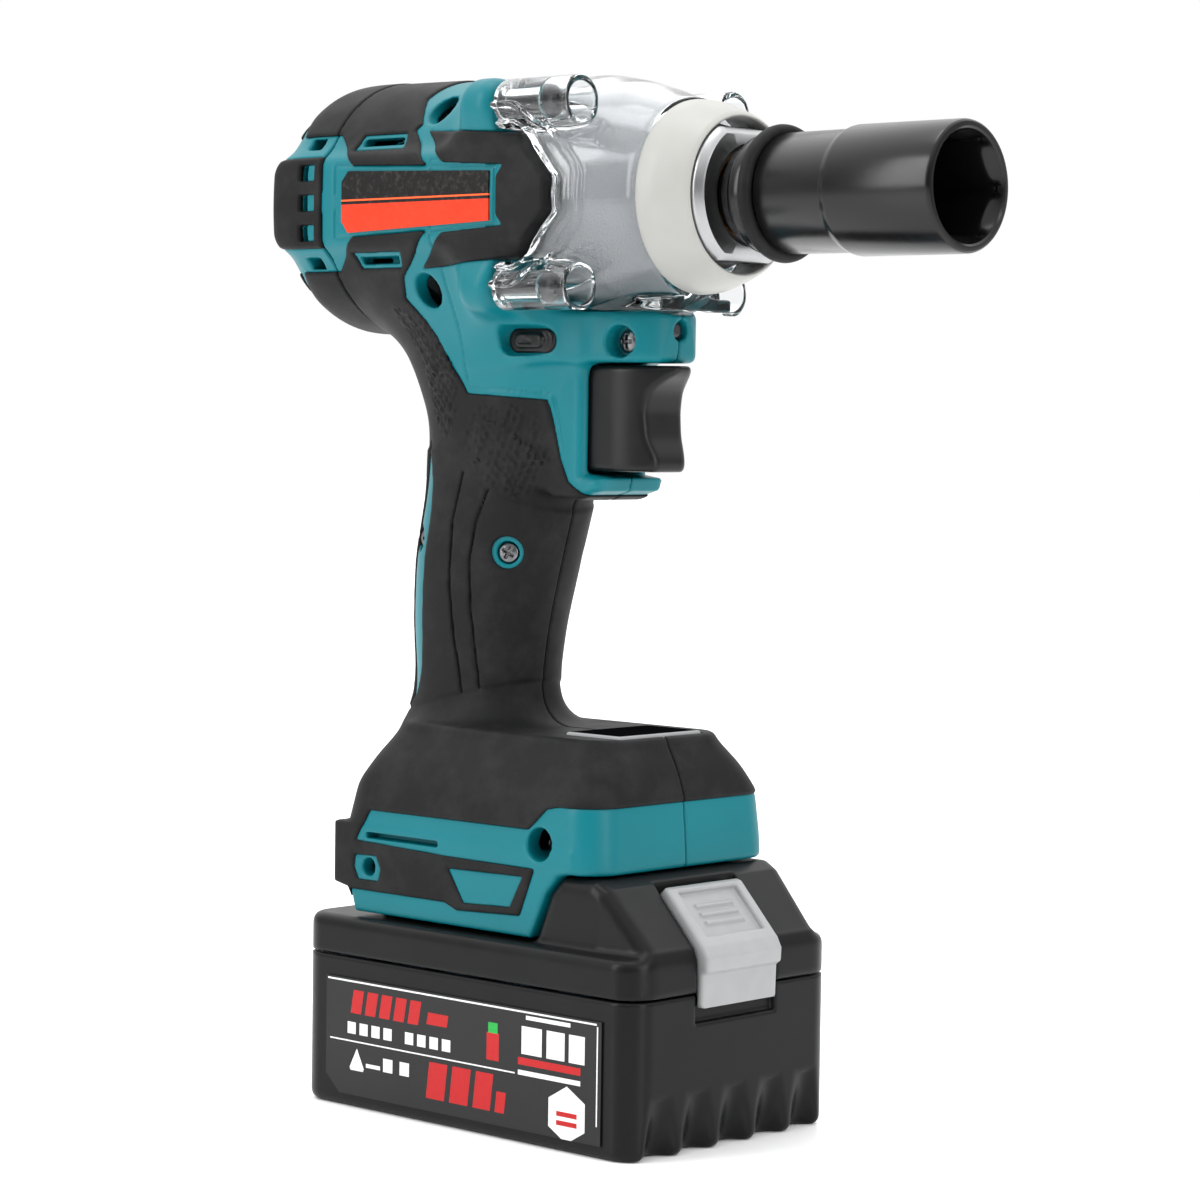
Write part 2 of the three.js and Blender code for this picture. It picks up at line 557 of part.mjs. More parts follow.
// Trigger with its plunger, return spring, switch, direction bar, lamp and electronics
function buildControls() {
  const side = [[13.6, 164], [34.4, 163.6], [35.4, 166], [33.4, 171], [31.4, 177.5], [33, 183.5], [38.6, 188],
    [38.6, 189.4], [13.6, 189.4]];
  const front = Array.from({ length: 9 }, (_, i) => {
    const angle = (i / 8 - 0.5) * Math.PI;
    return [24 + 15 * Math.cos(angle), 9.4 * Math.sin(angle)];
  });
  const finger = sidePrism(side, -12, 12).intersect(planPrism([[10, -9.4], ...front, [10, 9.4]], 150, 200));
  const plunger = rod(-4, 16, 1.8, 12, 0, 176);
  piece('trigger', finger.add(plunger), BLACK);
  piece('trigger_spring', springForm(new THREE.Vector3(5.4, 0, 176), 4, 0.5, 8, 4, 'x'), STEEL);
  const switchBody = box(-18, 3, -8.6, 8.6, 163.5, 188);
  piece('switch_body', switchBody.subtract(rod(-12, 6, 2.3, 12, 0, 176)), BLACK);
  const cap = roundedOutline(-5.4, 9.8, 3, 2.9, 4).map(([x, y]) => [x, y + 195.5]);
  piece('direction_bar', sidePrism(cap, -20.2, 20.2), BLACK);
  piece('lamp', rod(31.4, 37.6, 2.2, 16, 0, 198.1), LENS);
  piece('control_board', box(-32, 14, -20, 20, 75, 76.6), BOARD);
  piece('terminal_block', box(-30, 0, -14, 14, 62.8, 65.2), BLACK);
  piece('display_panel', box(8, 34, -20, 20, 96, 98.2), BLACK);
}

// Battery: case, lid with its slide rail and front hump, cells, label, latch and latch spring
function batteryLidForm() {
  const { halfX, halfY, seam, shoulder, corner } = BATTERY;
  const lid = loft([
    roundedRing(seam + GAP, -halfX, halfX, halfY, corner),
    roundedRing(shoulder - 1.5, -halfX, halfX, halfY, corner),
    roundedRing(shoulder, -halfX + 1.5, halfX - 1.5, halfY - 1.5, corner - 1.5),
  ]);
  const hump = sidePrism([[21.2, shoulder - 1], [29.4, 64.9], [41.4, 64.9], [56.4, shoulder - 1]], -34, 34)
    .intersect(roundedBox(0, 57, 34, 9, 40, 70));
  const rail = box(-44.5, 30, -21.5, 21.5, shoulder - 1, 60).add(box(-44.5, 30, -24.2, 24.2, 53.8, 62.2));
  return joined([lid, hump, rail]);
}

function latchForm(grow) {
  const outline = [[44.4 - grow, 62.9 + grow], [46.4 + grow, 62.9 + grow], [59 + grow, 50.4], [60.6 + grow, 47.8],
    [60.6 + grow, 43.4], [59.2 + grow, 42.6], [59.2 + grow, 35], [54 - grow, 35 - grow], [54 - grow, 50]];
  return sidePrism(outline, -14 - grow, 14 + grow);
}

function buildBattery() {
  const { halfX, halfY, seam, corner } = BATTERY;
  const tub = roundedBox(-halfX, halfX, halfY, corner, 0, seam);
  const ribs = [-24, -12, 0, 12, 24].map(y => sidePrism([[52, -1], [60, -1], [60, 9]], y - 3, y + 3));
  const inside = roundedBox(-halfX + 2.4, halfX - 5, halfY - 2.4, corner - 2, 2.2, seam + 1);
  const latchRoom = joined([0, 1.2, 2.4, 3.6].map(drop => latchForm(GAP * 2).translate(0, 0, -drop)));
  const springWell = box(52, 57, -2.2, 2.2, 26, 36);
  piece('battery_case', tub.subtract(inside).subtract(springWell).subtract(joined(ribs)).subtract(latchRoom), BLACK);
  const under = loft([roundedRing(seam - 1, -halfX + 2.6, halfX - 6, halfY - 2.6, 5),
    roundedRing(BATTERY.shoulder - 2.4, -halfX + 2.6, halfX - 6, halfY - 2.6, 5)])
    .add(box(-42, 27, -19, 19, 40, 58));
  piece('battery_lid', batteryLidForm().subtract(under).subtract(latchRoom), BLACK);
  const cells = [];
  for (let column = -2; column <= 2; column += 1) {
    for (const z of [11.9, 31]) cells.push(pinAlongY(column * 19.4 - 4, z, CELL_R, -32.5, 32.5, 12));
  }
  const holder = box(-53, 47, -2, 2, 2.6, 40.3);
  piece('cell_pack', joined([...cells, holder]), GREY);
  const print = [[-44, 3.5], [44, 3.5], [48.5, 8], [48.5, 32.8], [-48.5, 32.8], [-48.5, 8]];
  piece('battery_label', sidePrism(print, -halfY - 0.65, -halfY - GAP), BLACK);
  piece('latch', latchForm(0).subtract(box(53, 57, -8, 8, 30, 45)), GREY);
  piece('latch_spring', springForm(new THREE.Vector3(54.6, 0, 26.5), 1.3, 0.35, 7.8, 4, 'z'), STEEL);
}

buildHousing();
buildHousingScrews();
buildRearCover();
buildRatingPlates();
buildHammerCase();
buildNoseCover();
buildCaseScrews();
buildGearTrain();
buildMotor();
buildHammer();
buildAnvil();
buildSocket();
buildControls();
buildBattery();

export default GROUP;
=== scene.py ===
"""A cordless impact wrench: its moulded housing, clear nose cover, fitted socket and slide-on battery.

Metres, in the part's own frame: +X towards the socket, +Z up, the tool standing on its battery.
"""
import functools
import math
import operator

import bmesh
import bpy
import numpy as np
import openvdb
from mathutils import Matrix, Vector


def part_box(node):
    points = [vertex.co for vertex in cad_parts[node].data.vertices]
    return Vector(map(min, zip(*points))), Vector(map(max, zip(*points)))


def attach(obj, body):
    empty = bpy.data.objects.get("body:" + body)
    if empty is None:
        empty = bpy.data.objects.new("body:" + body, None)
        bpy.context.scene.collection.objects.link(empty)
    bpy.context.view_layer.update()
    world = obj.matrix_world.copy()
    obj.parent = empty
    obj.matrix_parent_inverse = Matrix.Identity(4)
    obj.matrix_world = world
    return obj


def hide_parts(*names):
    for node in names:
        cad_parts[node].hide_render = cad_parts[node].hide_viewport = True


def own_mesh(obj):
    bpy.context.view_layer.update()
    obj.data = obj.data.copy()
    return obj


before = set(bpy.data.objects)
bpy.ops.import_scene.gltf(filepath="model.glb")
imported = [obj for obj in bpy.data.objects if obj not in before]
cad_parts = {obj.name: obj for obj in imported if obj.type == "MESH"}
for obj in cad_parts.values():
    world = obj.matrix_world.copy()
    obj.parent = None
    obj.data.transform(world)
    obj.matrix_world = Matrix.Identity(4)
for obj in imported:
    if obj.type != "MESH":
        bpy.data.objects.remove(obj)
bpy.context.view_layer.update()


# ---------------------------------------------------------------------------------------------
# Stage: a pale seamless floor in a white studio, lit by three soft boxes. The camera stands low
# at the tool's front right.
floor_mesh = bpy.data.meshes.new("floor")
FLOOR_REACH = 6.0
floor_mesh.from_pydata([(x * FLOOR_REACH, y * FLOOR_REACH, 0) for x, y in ((-1, -1), (1, -1), (1, 1), (-1, 1))],
                       [], [(0, 1, 2, 3)])
floor = bpy.data.objects.new("floor", floor_mesh)
bpy.context.collection.objects.link(floor)


class Signal:
    """One output of a shader node, open to arithmetic."""

    def __init__(self, nodes, socket):
        self.nodes = nodes
        self.socket = socket

    def maths(self, operation, first, second=0.0):
        return self.nodes.node("ShaderNodeMath", {"operation": operation}, {0: first, 1: second})

    def __add__(self, other):
        return self.maths("ADD", self, other)

    __radd__ = __add__

    def __sub__(self, other):
        return self.maths("SUBTRACT", self, other)

    def __rsub__(self, other):
        return self.maths("SUBTRACT", other, self)

    def __mul__(self, other):
        return self.maths("MULTIPLY", self, other)

    __rmul__ = __mul__

    def __gt__(self, other):
        return self.maths("GREATER_THAN", self, other)

    def __lt__(self, other):
        return self.maths("LESS_THAN", self, other)

    def __or__(self, other):
        """Either mask."""
        return self.maths("MAXIMUM", self, other)

    def __abs__(self):
        return self.maths("ABSOLUTE", self)


class Nodes:
    """A node tree and the one way that nodes are added to it."""

    def __init__(self, tree):
        self.tree = tree

    def node(self, kind, settings=None, inputs=None, output=0):
        node = self.tree.nodes.new(kind)
        for key, value in (settings or {}).items():
            setattr(node, key, value)
        for key, value in (inputs or {}).items():
            self.feed(node.inputs[key], value)
        return Signal(self, node.outputs[output])

    def feed(self, socket, value):
        if isinstance(value, Signal):
            self.tree.links.new(value.socket, socket)
        else:
            socket.default_value = value

    def ramp(self, value, start, end, easing="LINEAR"):
        """Maps value from its start and end, each given as (from, to)."""
        return self.node("ShaderNodeMapRange", {"interpolation_type": easing},
                         {0: value, 1: start[0], 2: end[0], 3: start[1], 4: end[1]})


class Finish(Nodes):
    """A surface finish: one principled shader and the nodes that vary it."""

    def __init__(self, name, **sockets):
        self.material = bpy.data.materials.new(name)
        self.material.use_nodes = True
        super().__init__(self.material.node_tree)
        self.shader = self.tree.nodes["Principled BSDF"]
        for socket, value in sockets.items():
            self.put(socket.replace("_", " "), value)

    def put(self, name, value):
        self.feed(self.shader.inputs[name], value)

    def place(self):
        return self.node("ShaderNodeTexCoord", output="Object")

    def along(self, axis):
        return self.node("ShaderNodeSeparateXYZ", {}, {0: self.place()}, output="XYZ".index(axis))

    def noise(self, grain, detail=3.0, rough=0.5):
        """Even noise whose lumps are about grain metres across."""
        inputs = {"Vector": self.place(), "Scale": 1 / grain, "Detail": detail, "Roughness": rough}
        return self.node("ShaderNodeTexNoise", {}, inputs)

    def blend(self, share, under, over):
        return self.node("ShaderNodeMix", {"data_type": "RGBA"}, {0: share, 6: under, 7: over}, output=2)

    def mottle(self, under, over, grain, detail=3.0):
        """Two tones of the base colour, in patches about grain metres across."""
        self.put("Base Color", self.blend(self.noise(grain, detail), under, over))

    def wear(self, least, spread, grain, detail=3.0):
        """Uneven roughness from least upwards, in patches about grain metres across."""
        self.put("Roughness", least + spread * self.noise(grain, detail))

    def bump(self, height, depth, strength=1.0):
        self.put("Normal", self.node("ShaderNodeBump", {}, {"Height": height, "Distance": depth,
                                                            "Strength": strength}))


def colour(red, green, blue):
    """A shader colour from the 0 to 255 values of a paint chip."""
    def linear(value):
        value /= 255
        return value / 12.92 if value <= 0.04045 else ((value + 0.055) / 1.055) ** 2.4
    return (linear(red), linear(green), linear(blue), 1.0)


floor_finish = Finish("studio_floor", Roughness=0.32)
floor_finish.mottle(colour(250, 250, 251), colour(253, 253, 253), 0.5)
floor_mesh.materials.append(floor_finish.material)

# The studio's far wall and ceiling are white and its near side dimmer, so black plastic keeps its depth.
TO_FAR_WALL = (-0.68, 0.73, 0.0)
world = bpy.data.worlds.new("studio")
world.use_nodes = True
studio = Nodes(world.node_tree)
heading = studio.node("ShaderNodeTexCoord", output="Generated")
facing = studio.node("ShaderNodeVectorMath", {"operation": "DOT_PRODUCT"}, {0: heading, 1: TO_FAR_WALL},
                     "Value")
lift = studio.node("ShaderNodeSeparateXYZ", {}, {0: heading}, "Z")
wall = studio.ramp(facing, (-0.6, 0.22), (0.7, 1.0), "SMOOTHSTEP")
ceiling = studio.ramp(lift, (0.15, 0.0), (0.9, 1.5), "SMOOTHSTEP")
background = studio.tree.nodes["Background"]
studio.feed(background.inputs["Color"], (1, 1, 1, 1))
studio.feed(background.inputs["Strength"], wall + ceiling)
bpy.context.scene.world = world
bpy.context.scene.view_settings.view_transform = "Standard"
TOOL_MIDDLE = Vector((0, 0, 0.15))


def soft_box(name, place, width, height, power):
    """A soft box turned to the middle of the tool. Sizes in metres, power in watts."""
    lamp = bpy.data.lights.new(name, "AREA")
    lamp.shape = "RECTANGLE"
    lamp.size = width
    lamp.size_y = height
    lamp.energy = power
    lamp_object = bpy.data.objects.new(name, lamp)
    lamp_object.location = place
    lamp_object.rotation_euler = (TOOL_MIDDLE - Vector(place)).to_track_quat("-Z", "Y").to_euler()
    bpy.context.collection.objects.link(lamp_object)


soft_box("key_box", (-0.6, -1.4, 0.8), 0.5, 1.3, 17)
soft_box("front_box", (1.5, -0.1, 0.6), 0.45, 1.2, 11)
soft_box("top_box", (0.0, -0.1, 1.5), 0.9, 0.6, 6)

camera_data = bpy.data.cameras.new("camera")
camera_data.sensor_width = 36.0
camera_data.lens = 103.98
camera_data.clip_start = 0.01
camera = bpy.data.objects.new("camera", camera_data)
CAMERA_AZIMUTH = math.radians(42.869)
CAMERA_HEIGHT = math.radians(3.103)
CAMERA_ROLL = math.radians(0.82)
CAMERA_PLACE = (0.60239, -0.637294, 0.177928)
backward = Vector((math.sin(CAMERA_AZIMUTH) * math.cos(CAMERA_HEIGHT),
                   -math.cos(CAMERA_AZIMUTH) * math.cos(CAMERA_HEIGHT), math.sin(CAMERA_HEIGHT)))
level = backward.cross(Vector((0, 0, -1))).normalized()
upright = level.cross(-backward)
across = level * math.cos(CAMERA_ROLL) + upright * math.sin(CAMERA_ROLL)
upward = upright * math.cos(CAMERA_ROLL) - level * math.sin(CAMERA_ROLL)
camera.matrix_world = Matrix.Translation(CAMERA_PLACE) @ Matrix(
    (across, upward, backward)).transposed().to_4x4()
bpy.context.collection.objects.link(camera)
bpy.context.scene.camera = camera


# ---------------------------------------------------------------------------------------------
# Housing: two injection-moulded halves in teal, screwed together on the centre plane. Barrel,
# trigger bracket, grip core and battery foot are one moulding, faired into each other.
MM = 0.001
STEP = 0.5
SOCKET_RADIUS = 15.4
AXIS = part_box("socket")[0].z / MM + SOCKET_RADIUS
BORE = 28.6
LAND = 33.1
REAR_SEAM = -58
LUG_SIDES = (-28, 28)
LUG_HEIGHTS = (AXIS - 22.4, AXIS + 22.4)


class Block:
    """A box of space cut into a fine grid, in millimetres, that solid shapes are worked out on."""

    def __init__(self, low, high, step=STEP):
        self.step = step
        self.low = [edge - 2 * step for edge in low]
        self.axes = [np.arange(a, b + 2 * step, step, dtype=np.float32) for a, b in zip(self.low, high)]
        shapes = [(-1, 1, 1), (1, -1, 1), (1, 1, -1)]
        self.x, self.y, self.z = [axis.reshape(shape) for axis, shape in zip(self.axes, shapes)]

    def mesh(self, name, field, mirror=False):
        """The smooth skin where the field crosses zero. mirror turns it over the centre plane."""
        field = np.broadcast_to(field, [len(axis) for axis in self.axes])
        volume = openvdb.FloatGrid(3 * self.step)
        volume.copyFromArray(np.clip(field, -3 * self.step, 3 * self.step).astype(np.float32))
        points, triangles, quads = volume.convertToPolygons(0.0, 0.0)
        points = (points * self.step + self.low) * MM
        if mirror:
            points = points * (1, -1, 1)
        faces = [tuple(face) for face in triangles.tolist()] + [tuple(face) for face in quads.tolist()]
        skin = bpy.data.meshes.new(name)
        skin.from_pydata(points.tolist(), [], faces)
        return finish_mesh(name, skin)


def finish_mesh(name, skin, sharp=None):
    """Turns every face outwards, shades it smooth and adds it to the scene."""
    work = bmesh.new()
    work.from_mesh(skin)
    if work.calc_volume(signed=True) < 0:
        bmesh.ops.reverse_faces(work, faces=work.faces)
    work.to_mesh(skin)
    work.free()
    skin.polygons.foreach_set("use_smooth", [True] * len(skin.polygons))
    if sharp:
        skin.set_sharp_from_angle(angle=math.radians(sharp))
    piece = bpy.data.objects.new(name, skin)
    bpy.context.collection.objects.link(piece)
    return piece


def fair(a, b, radius):
    """Both shapes as one, with a fillet of that radius where they meet."""
    share = np.clip(0.5 + 0.5 * (b - a) / radius, 0, 1)
    return b * (1 - share) + a * share - radius * share * (1 - share)


def common(a, b, radius=0.6):
    """What both shapes hold, with its new edge rounded over."""
    return -fair(-a, -b, radius)


def cut(a, b, radius=0.6):
    return common(a, -b, radius)


def joined(*shapes):
    """All the shapes as one, with sharp corners."""
    return functools.reduce(np.minimum, shapes)


def shared(*shapes):
    """What all the shapes hold, with sharp corners."""
    return functools.reduce(np.maximum, shapes)


def outline(block, points, plane="xz", rounding=0.0):
    """Signed distance to a polygon drawn on a plane of the block."""
    first, second = getattr(block, plane[0]), getattr(block, plane[1])
    best = None
    inside = None
    for (ax, ay), (bx, by) in zip(points, points[1:] + points[:1]):
        ex, ey = bx - ax, by - ay
        wx, wy = first - ax, second - ay
        t = np.clip((wx * ex + wy * ey) / (ex * ex + ey * ey), 0, 1)
        distance = (wx - ex * t) ** 2 + (wy - ey * t) ** 2
        best = distance if best is None else np.minimum(best, distance)
        crosses = ((ay <= second) != (by <= second)) & ((ex * wy - ey * wx > 0) == (by > ay))
        inside = crosses if inside is None else inside ^ crosses
    return np.where(inside, -1, 1) * np.sqrt(best) - rounding


def slab(block, x=None, y=None, z=None, rounding=0.0):
    """A box between limits along any of the three axes, its edges rounded."""
    total = 0
    deepest = -1e6
    for values, limits in ((block.x, x), (block.y, y), (block.z, z)):
        if limits is None:
            continue
        gap = np.maximum(limits[0] + rounding - values, values - limits[1] + rounding)
        total = total + np.maximum(gap, 0) ** 2
        deepest = np.maximum(deepest, gap)
    return np.sqrt(total) + np.minimum(deepest, 0) - rounding


def bar(block, axis, centre, radius, ends, rounding=0.5):
    """A round bar along one axis, centred on the other two."""
    first, second = [name for name in "xyz" if name != axis]
    across = np.hypot(getattr(block, first) - centre[0], getattr(block, second) - centre[1]) - radius
    values = getattr(block, axis)
    lengthways = np.maximum(ends[0] - values, values - ends[1])
    return common(across, lengthways, rounding)


def soft_curve(values, stations, sizes, spread=4.0):
    """Sizes between stations, eased so that the surface has no kinks."""
    fine = np.arange(stations[0] - 20, stations[-1] + 20, 0.5)
    plain = np.interp(fine, stations, sizes)
    kernel = np.exp(-0.5 * (np.arange(-24, 25) * 0.5 / spread) ** 2)
    eased = np.convolve(np.pad(plain, 24, mode="edge"), kernel / kernel.sum(), mode="valid")
    return np.interp(values, fine, eased).astype(np.float32)


def barrel(block):
    """The round motor barrel with a flat land on each side for the rating plate."""
    size = soft_curve(block.x, [-60, -30, 3], [32.2, 31.8, 31.5])
    tube = np.hypot(block.y, block.z - AXIS) - size
    land = slab(block, y=(-33, 33), z=(AXIS - 11, AXIS + 11), rounding=3)
    return common(fair(tube, land, 5), np.abs(block.y) - LAND, 1.5)


def grip(block):
    """An oval stem that leans with the hand, flaring into the barrel above and the foot below."""
    heights = [84, 97, 107, 123, 140, 158, 175, 190, 206, 216]
    centre = soft_curve(block.z, heights, [-25, -27, -28.8, -28.4, -25.6, -20.8, -18, -19, -24, -26])
    half_x = soft_curve(block.z, heights, [24, 21.5, 18.9, 20.8, 22.4, 22.8, 25, 31, 37, 38])
    half_y = soft_curve(block.z, heights, [22, 17.5, 14.8, 15.6, 16.9, 17.3, 17.4, 19, 24, 26])
    u = np.abs(block.x - centre) / half_x
    v = np.abs(block.y) / half_y
    fullness = 2.3
    size = (u ** fullness + v ** fullness) ** (1 / fullness) + 1e-6
    slope = np.hypot((u / size) ** (fullness - 1) / half_x, (v / size) ** (fullness - 1) / half_y)
    oval = (size - 1) / np.maximum(slope, 1e-4)
    return common(oval, slab(block, z=(heights[0], heights[-1])), 2)


def bracket(block):
    """The block under the nose that carries the lamp and the front screw."""
    nose = np.hypot(block.x - 25.5, block.y) - 12
    plan = outline(block, [(-30, -17), (2, -18.4), (25.5, -12), (25.5, 12), (2, 18.4), (-30, 17)], "xy")
    plan = fair(plan, nose, 3)
    low, high = 190.2, 203
    front = (block.x - 37.5) - 0.14 * (block.z - high)
    return common(shared(plan, front), slab(block, z=(low, high)), 2.2)


def guard(block):
    """The rim round the trigger, ending in a small lip below it."""
    side = outline(block, [(-6, 196), (15.3, 196), (15.3, 162.2), (21, 161.4), (20.2, 158.6),
                           (14, 156.8), (6, 157), (-6, 162)])
    return common(side - 0.3, slab(block, y=(-12.6, 12.6)), 3.2)


def rounded_plan(block, half_x, half_y, corner, middle=0):
    """A rectangle seen from above, its four corners rounded."""
    dx = np.abs(block.x - middle) - half_x + corner
    dy = np.abs(block.y) - half_y + corner
    return np.hypot(np.maximum(dx, 0), np.maximum(dy, 0)) + np.minimum(np.maximum(dx, dy), 0) - corner


def foot(block):
    """The wide base that slides over the battery's rail."""
    heights = [66, 72, 83, 90, 97]
    front = soft_curve(block.z, heights, [41.3, 41, 40, 37.5, 33.5], 1.5)
    rear = soft_curve(block.z, heights, [-49.6, -49.4, -46.5, -43.5, -40], 1.5)
    half_y = soft_curve(block.z, heights, [33.5, 33.4, 32.6, 28.5, 23], 1.5)
    plan = rounded_plan(block, (front - rear) / 2, half_y, 9, (front + rear) / 2)
    upper = common(plan * 0.9, slab(block, z=(66.2, 97.6)), 1.6)
    skirt = outline(block, [(-42.5, 49.6), (19.8, 49.6), (24.8, 61), (28.6, 65.4), (34, 67.5),
                            (34, 72), (-49.6, 72), (-49.6, 57), (-44.5, 56)])
    skirt = common(skirt, slab(block, y=(-33.4, 33.4), rounding=1), 1.2)
    return fair(upper, skirt, 0.8)


def screw_bosses(block):
    """Round bosses that take the four nose cover screws."""
    return joined(*[bar(block, "x", (LUG_SIDES[1] - 0.4, z), 6.6, (-9, 3.2), 5) for z in LUG_HEIGHTS])


def housing_form(block):
    """The outer skin of the whole clamshell."""
    body = fair(barrel(block), screw_bosses(block), 10)
    front_face = outline(block, [(-90, 180), (3, 180), (3, AXIS - 15.4), (9.2, AXIS - 15),
                                 (20.4, AXIS - 3.8), (20.4, AXIS + 3.8), (9.2, AXIS + 15),
                                 (3, AXIS + 15.4), (3, 275), (-90, 275)])
    body = common(body, front_face, 0.8)
    handle = fair(grip(block), bracket(block), 5)
    body = fair(body, handle, 9)
    body = fair(body, guard(block), 4)
    return fair(body, foot(block), 7)


RUBBER_DEPTH = 1.5
RUBBER_PROUD = 0.5
HALF = Block((-60, 0, 48), (44, 40, 266))
form = housing_form(HALF)


def over_and_under(points):
    """An outline and its mirror image below the drive axis."""
    return [points, [(x, 2 * AXIS - z) for x, z in points]]


# The soft overmould is drawn as outlines on the tool's side.
FRONT_PAD = [(-24.5, AXIS + 17), (9, AXIS + 15), (20.6, AXIS + 3.8), (20.6, AXIS - 3.8), (9, AXIS - 15),
             (-24.5, AXIS - 17), (-14, AXIS - 8.9), (7.4, AXIS - 7.6), (4.9, AXIS - 4.6), (4.9, AXIS + 4.6),
             (7.4, AXIS + 7.6), (-14, AXIS + 8.9)]
CAP = [(-90, AXIS + 17.6), (-56.5, AXIS + 17.6), (-46.6, AXIS + 9.3), (-20.5, AXIS + 8.4),
       (-30.2, AXIS + 17.4), (-29, AXIS + 19), (-34.5, AXIS + 26), (-34.5, AXIS + 40), (-90, AXIS + 40)]
UNDER_CAP = [(-90, AXIS - 17.6), (-56.5, AXIS - 17.6), (-46.6, AXIS - 9.3), (-20.5, AXIS - 8.4),
             (-27, AXIS - 14), (-33, AXIS - 19), (-35, 206), (-30, 200), (-19, 182), (4, 180.6), (5.6, 175.6),
             (8.3, 166), (11, 160.4), (15.5, 157.4), (24, 155), (24, 110), (60, 110), (60, 82.8), (28.5, 82.6),
             (24.5, 81.8), (18.8, 76.4), (-37.2, 76.2), (-42.2, 67.8), (-10, 66.8), (20.8, 66.5), (16.2, 55),
             (-5.4, 54), (-9.8, 55.6), (-44, 55.6), (-44, 40), (-70, 40), (-90, 120)]
SLOT = [(-48.6, AXIS + 13), (-47.6, AXIS + 16.8), (-32.4, AXIS + 16.8), (-31, AXIS + 13)]
FOOT_WINDOW = [(-8.4, 63.9), (17.2, 64.4), (13, 56.6), (-3, 55.9)]
FOOT_BOSS = [(-42.2, 64.2), (-34.6, 64.4), (-32.9, 61.2), (-33.8, 58.1), (-41, 58.1), (-42.6, 61)]

GRIP_X, GRIP_Y, GRIP_Z = -9, 13.2, 142.2


def spine(block):
    """A teal rib that shows through the overmould along the rear corner of the grip."""
    heights = [97, 110, 125, 140, 155, 170]
    middle = soft_curve(block.z, heights, [-42.3, -42.6, -43.1, -41.4, -37.8, -35.8], 4)
    side = soft_curve(block.z, heights, [13.0, 11.6, 12.2, 13.1, 13.4, 13.5], 4)
    width = 6.4 * (1 - np.clip(np.abs(block.z - 134.5) / 36, 0, 1.2) ** 4)
    across = np.abs((block.x - middle) * 0.6 + (np.abs(block.y) - side) * 0.8)
    return shared(across - width, block.x - middle - 10)


grip_ring = np.sqrt((HALF.x - GRIP_X) ** 2 + (HALF.y - GRIP_Y) ** 2 + (HALF.z - GRIP_Z) ** 2) - 4.9
windows = [outline(HALF, window, rounding=0.3) for window in over_and_under(SLOT) + [FOOT_WINDOW, FOOT_BOSS]]
rubber_zone = joined(*[outline(HALF, zone) for zone in (FRONT_PAD, CAP, UNDER_CAP)])
rubber_zone = shared(rubber_zone, *[-window for window in windows + [spine(HALF), grip_ring]])


def housing_openings(block):
    """The foot's bay for the battery rail, the hollow of the shell and the holes through its wall."""
    hollow = np.hypot(block.y, block.z - AXIS) - BORE
    bay = joined(slab(block, x=(-45.5, 60), y=(-25, 25), z=(53.2, 63)),
                 slab(block, x=(-45.5, 60), y=(-22, 22), z=(40, 60)))
    trigger_hole = slab(block, x=(3, 30), y=(-9.9, 9.9), z=(162.6, 189.9), rounding=1.2)
    room = shared(slab(block, x=(3.2, 60), y=(-30, 30), z=(203.2, 280)), hollow)
    lamp_hole = bar(block, "x", (0, 198.2), 2.5, (31, 50), 0.3)
    pad = slab(block, x=(13.4, 32.6), y=(-15.6, 15.6), z=(95.8, 110), rounding=1)
    lug_holes = [bar(block, "x", (LUG_SIDES[1], z), 2.3, (-12, 10), 0.2) for z in LUG_HEIGHTS]
    return [hollow, bay, trigger_hole, room, lamp_hole, pad] + lug_holes


# Middle of each case screw seen from the side, and the radius of the recess it sits in.
SCREWS = {"head_screw_top": (-25.4, AXIS + 22.6, 3.6), "head_screw_bottom": (-25.6, AXIS - 22.6, 4.3),
          "bracket_screw": (27, 195.3, 3.9), "grip_screw": (-8.5, 142.6, 3.6),
          "spine_screw": (-41.5, 144.6, 3.4), "foot_screw_front": (22.6, 72.8, 4.1),
          "foot_screw_rear": (-37.4, 61.4, 2.3)}


def screw_wells(block, grow=0.0):
    """Recesses round the case screws, sunk straight in from the right side."""
    wells = []
    for name, (x, z, radius) in SCREWS.items():
        if name == "grip_screw":
            off_x, off_y = block.x - GRIP_X, block.y - GRIP_Y
            shaft = np.hypot(off_x * 0.87 - off_y * 0.5, block.z - GRIP_Z) - 2.9
            floor_of_well = -off_x * 0.5 - off_y * 0.87 - 2.6
        else:
            shaft = np.hypot(block.x - x, block.z - z) - radius
            seat = 28 if name == "foot_screw_rear" else -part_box(name)[0].y / MM - 2.6
            floor_of_well = seat - block.y
        wells.append(shared(shaft - grow, floor_of_well))
    return joined(*wells)


def cut_all(solid, openings):
    """A solid with every opening cut from it."""
    return functools.reduce(lambda rest, opening: cut(rest, opening, 0.5), openings, solid)


WALL = 4.4
openings = housing_openings(HALF)
seams = shared(0.1 - HALF.y, REAR_SEAM - HALF.x)
core = fair(form + RUBBER_DEPTH, common(form, -rubber_zone, 0.5), 0.25)
button_slot = slab(HALF, x=(-6.2, 10.6), z=(191.7, 199.1), y=(15.4, 40), rounding=3.4)
shell = cut_all(common(core, -(form + WALL), 0.5), openings + [button_slot])
plate_frame = outline(HALF, [(-53, AXIS - 9.4), (4.2, AXIS - 7.2), (4.2, AXIS + 7.2), (-53, AXIS + 9.4)])
shell = cut(shell, shared(np.abs(plate_frame) - 0.35, -(form + 0.5)), 0.3)
crease = outline(HALF, [(-18.5, 184), (5.8, 182.6), (8.6, 170), (11.5, 162), (40, 150), (40, 240),
                        (-18.5, 240)])
shell = cut(shell, shared(np.abs(crease) - 0.3, -(form + 0.4), HALF.x - 9), 0.3)
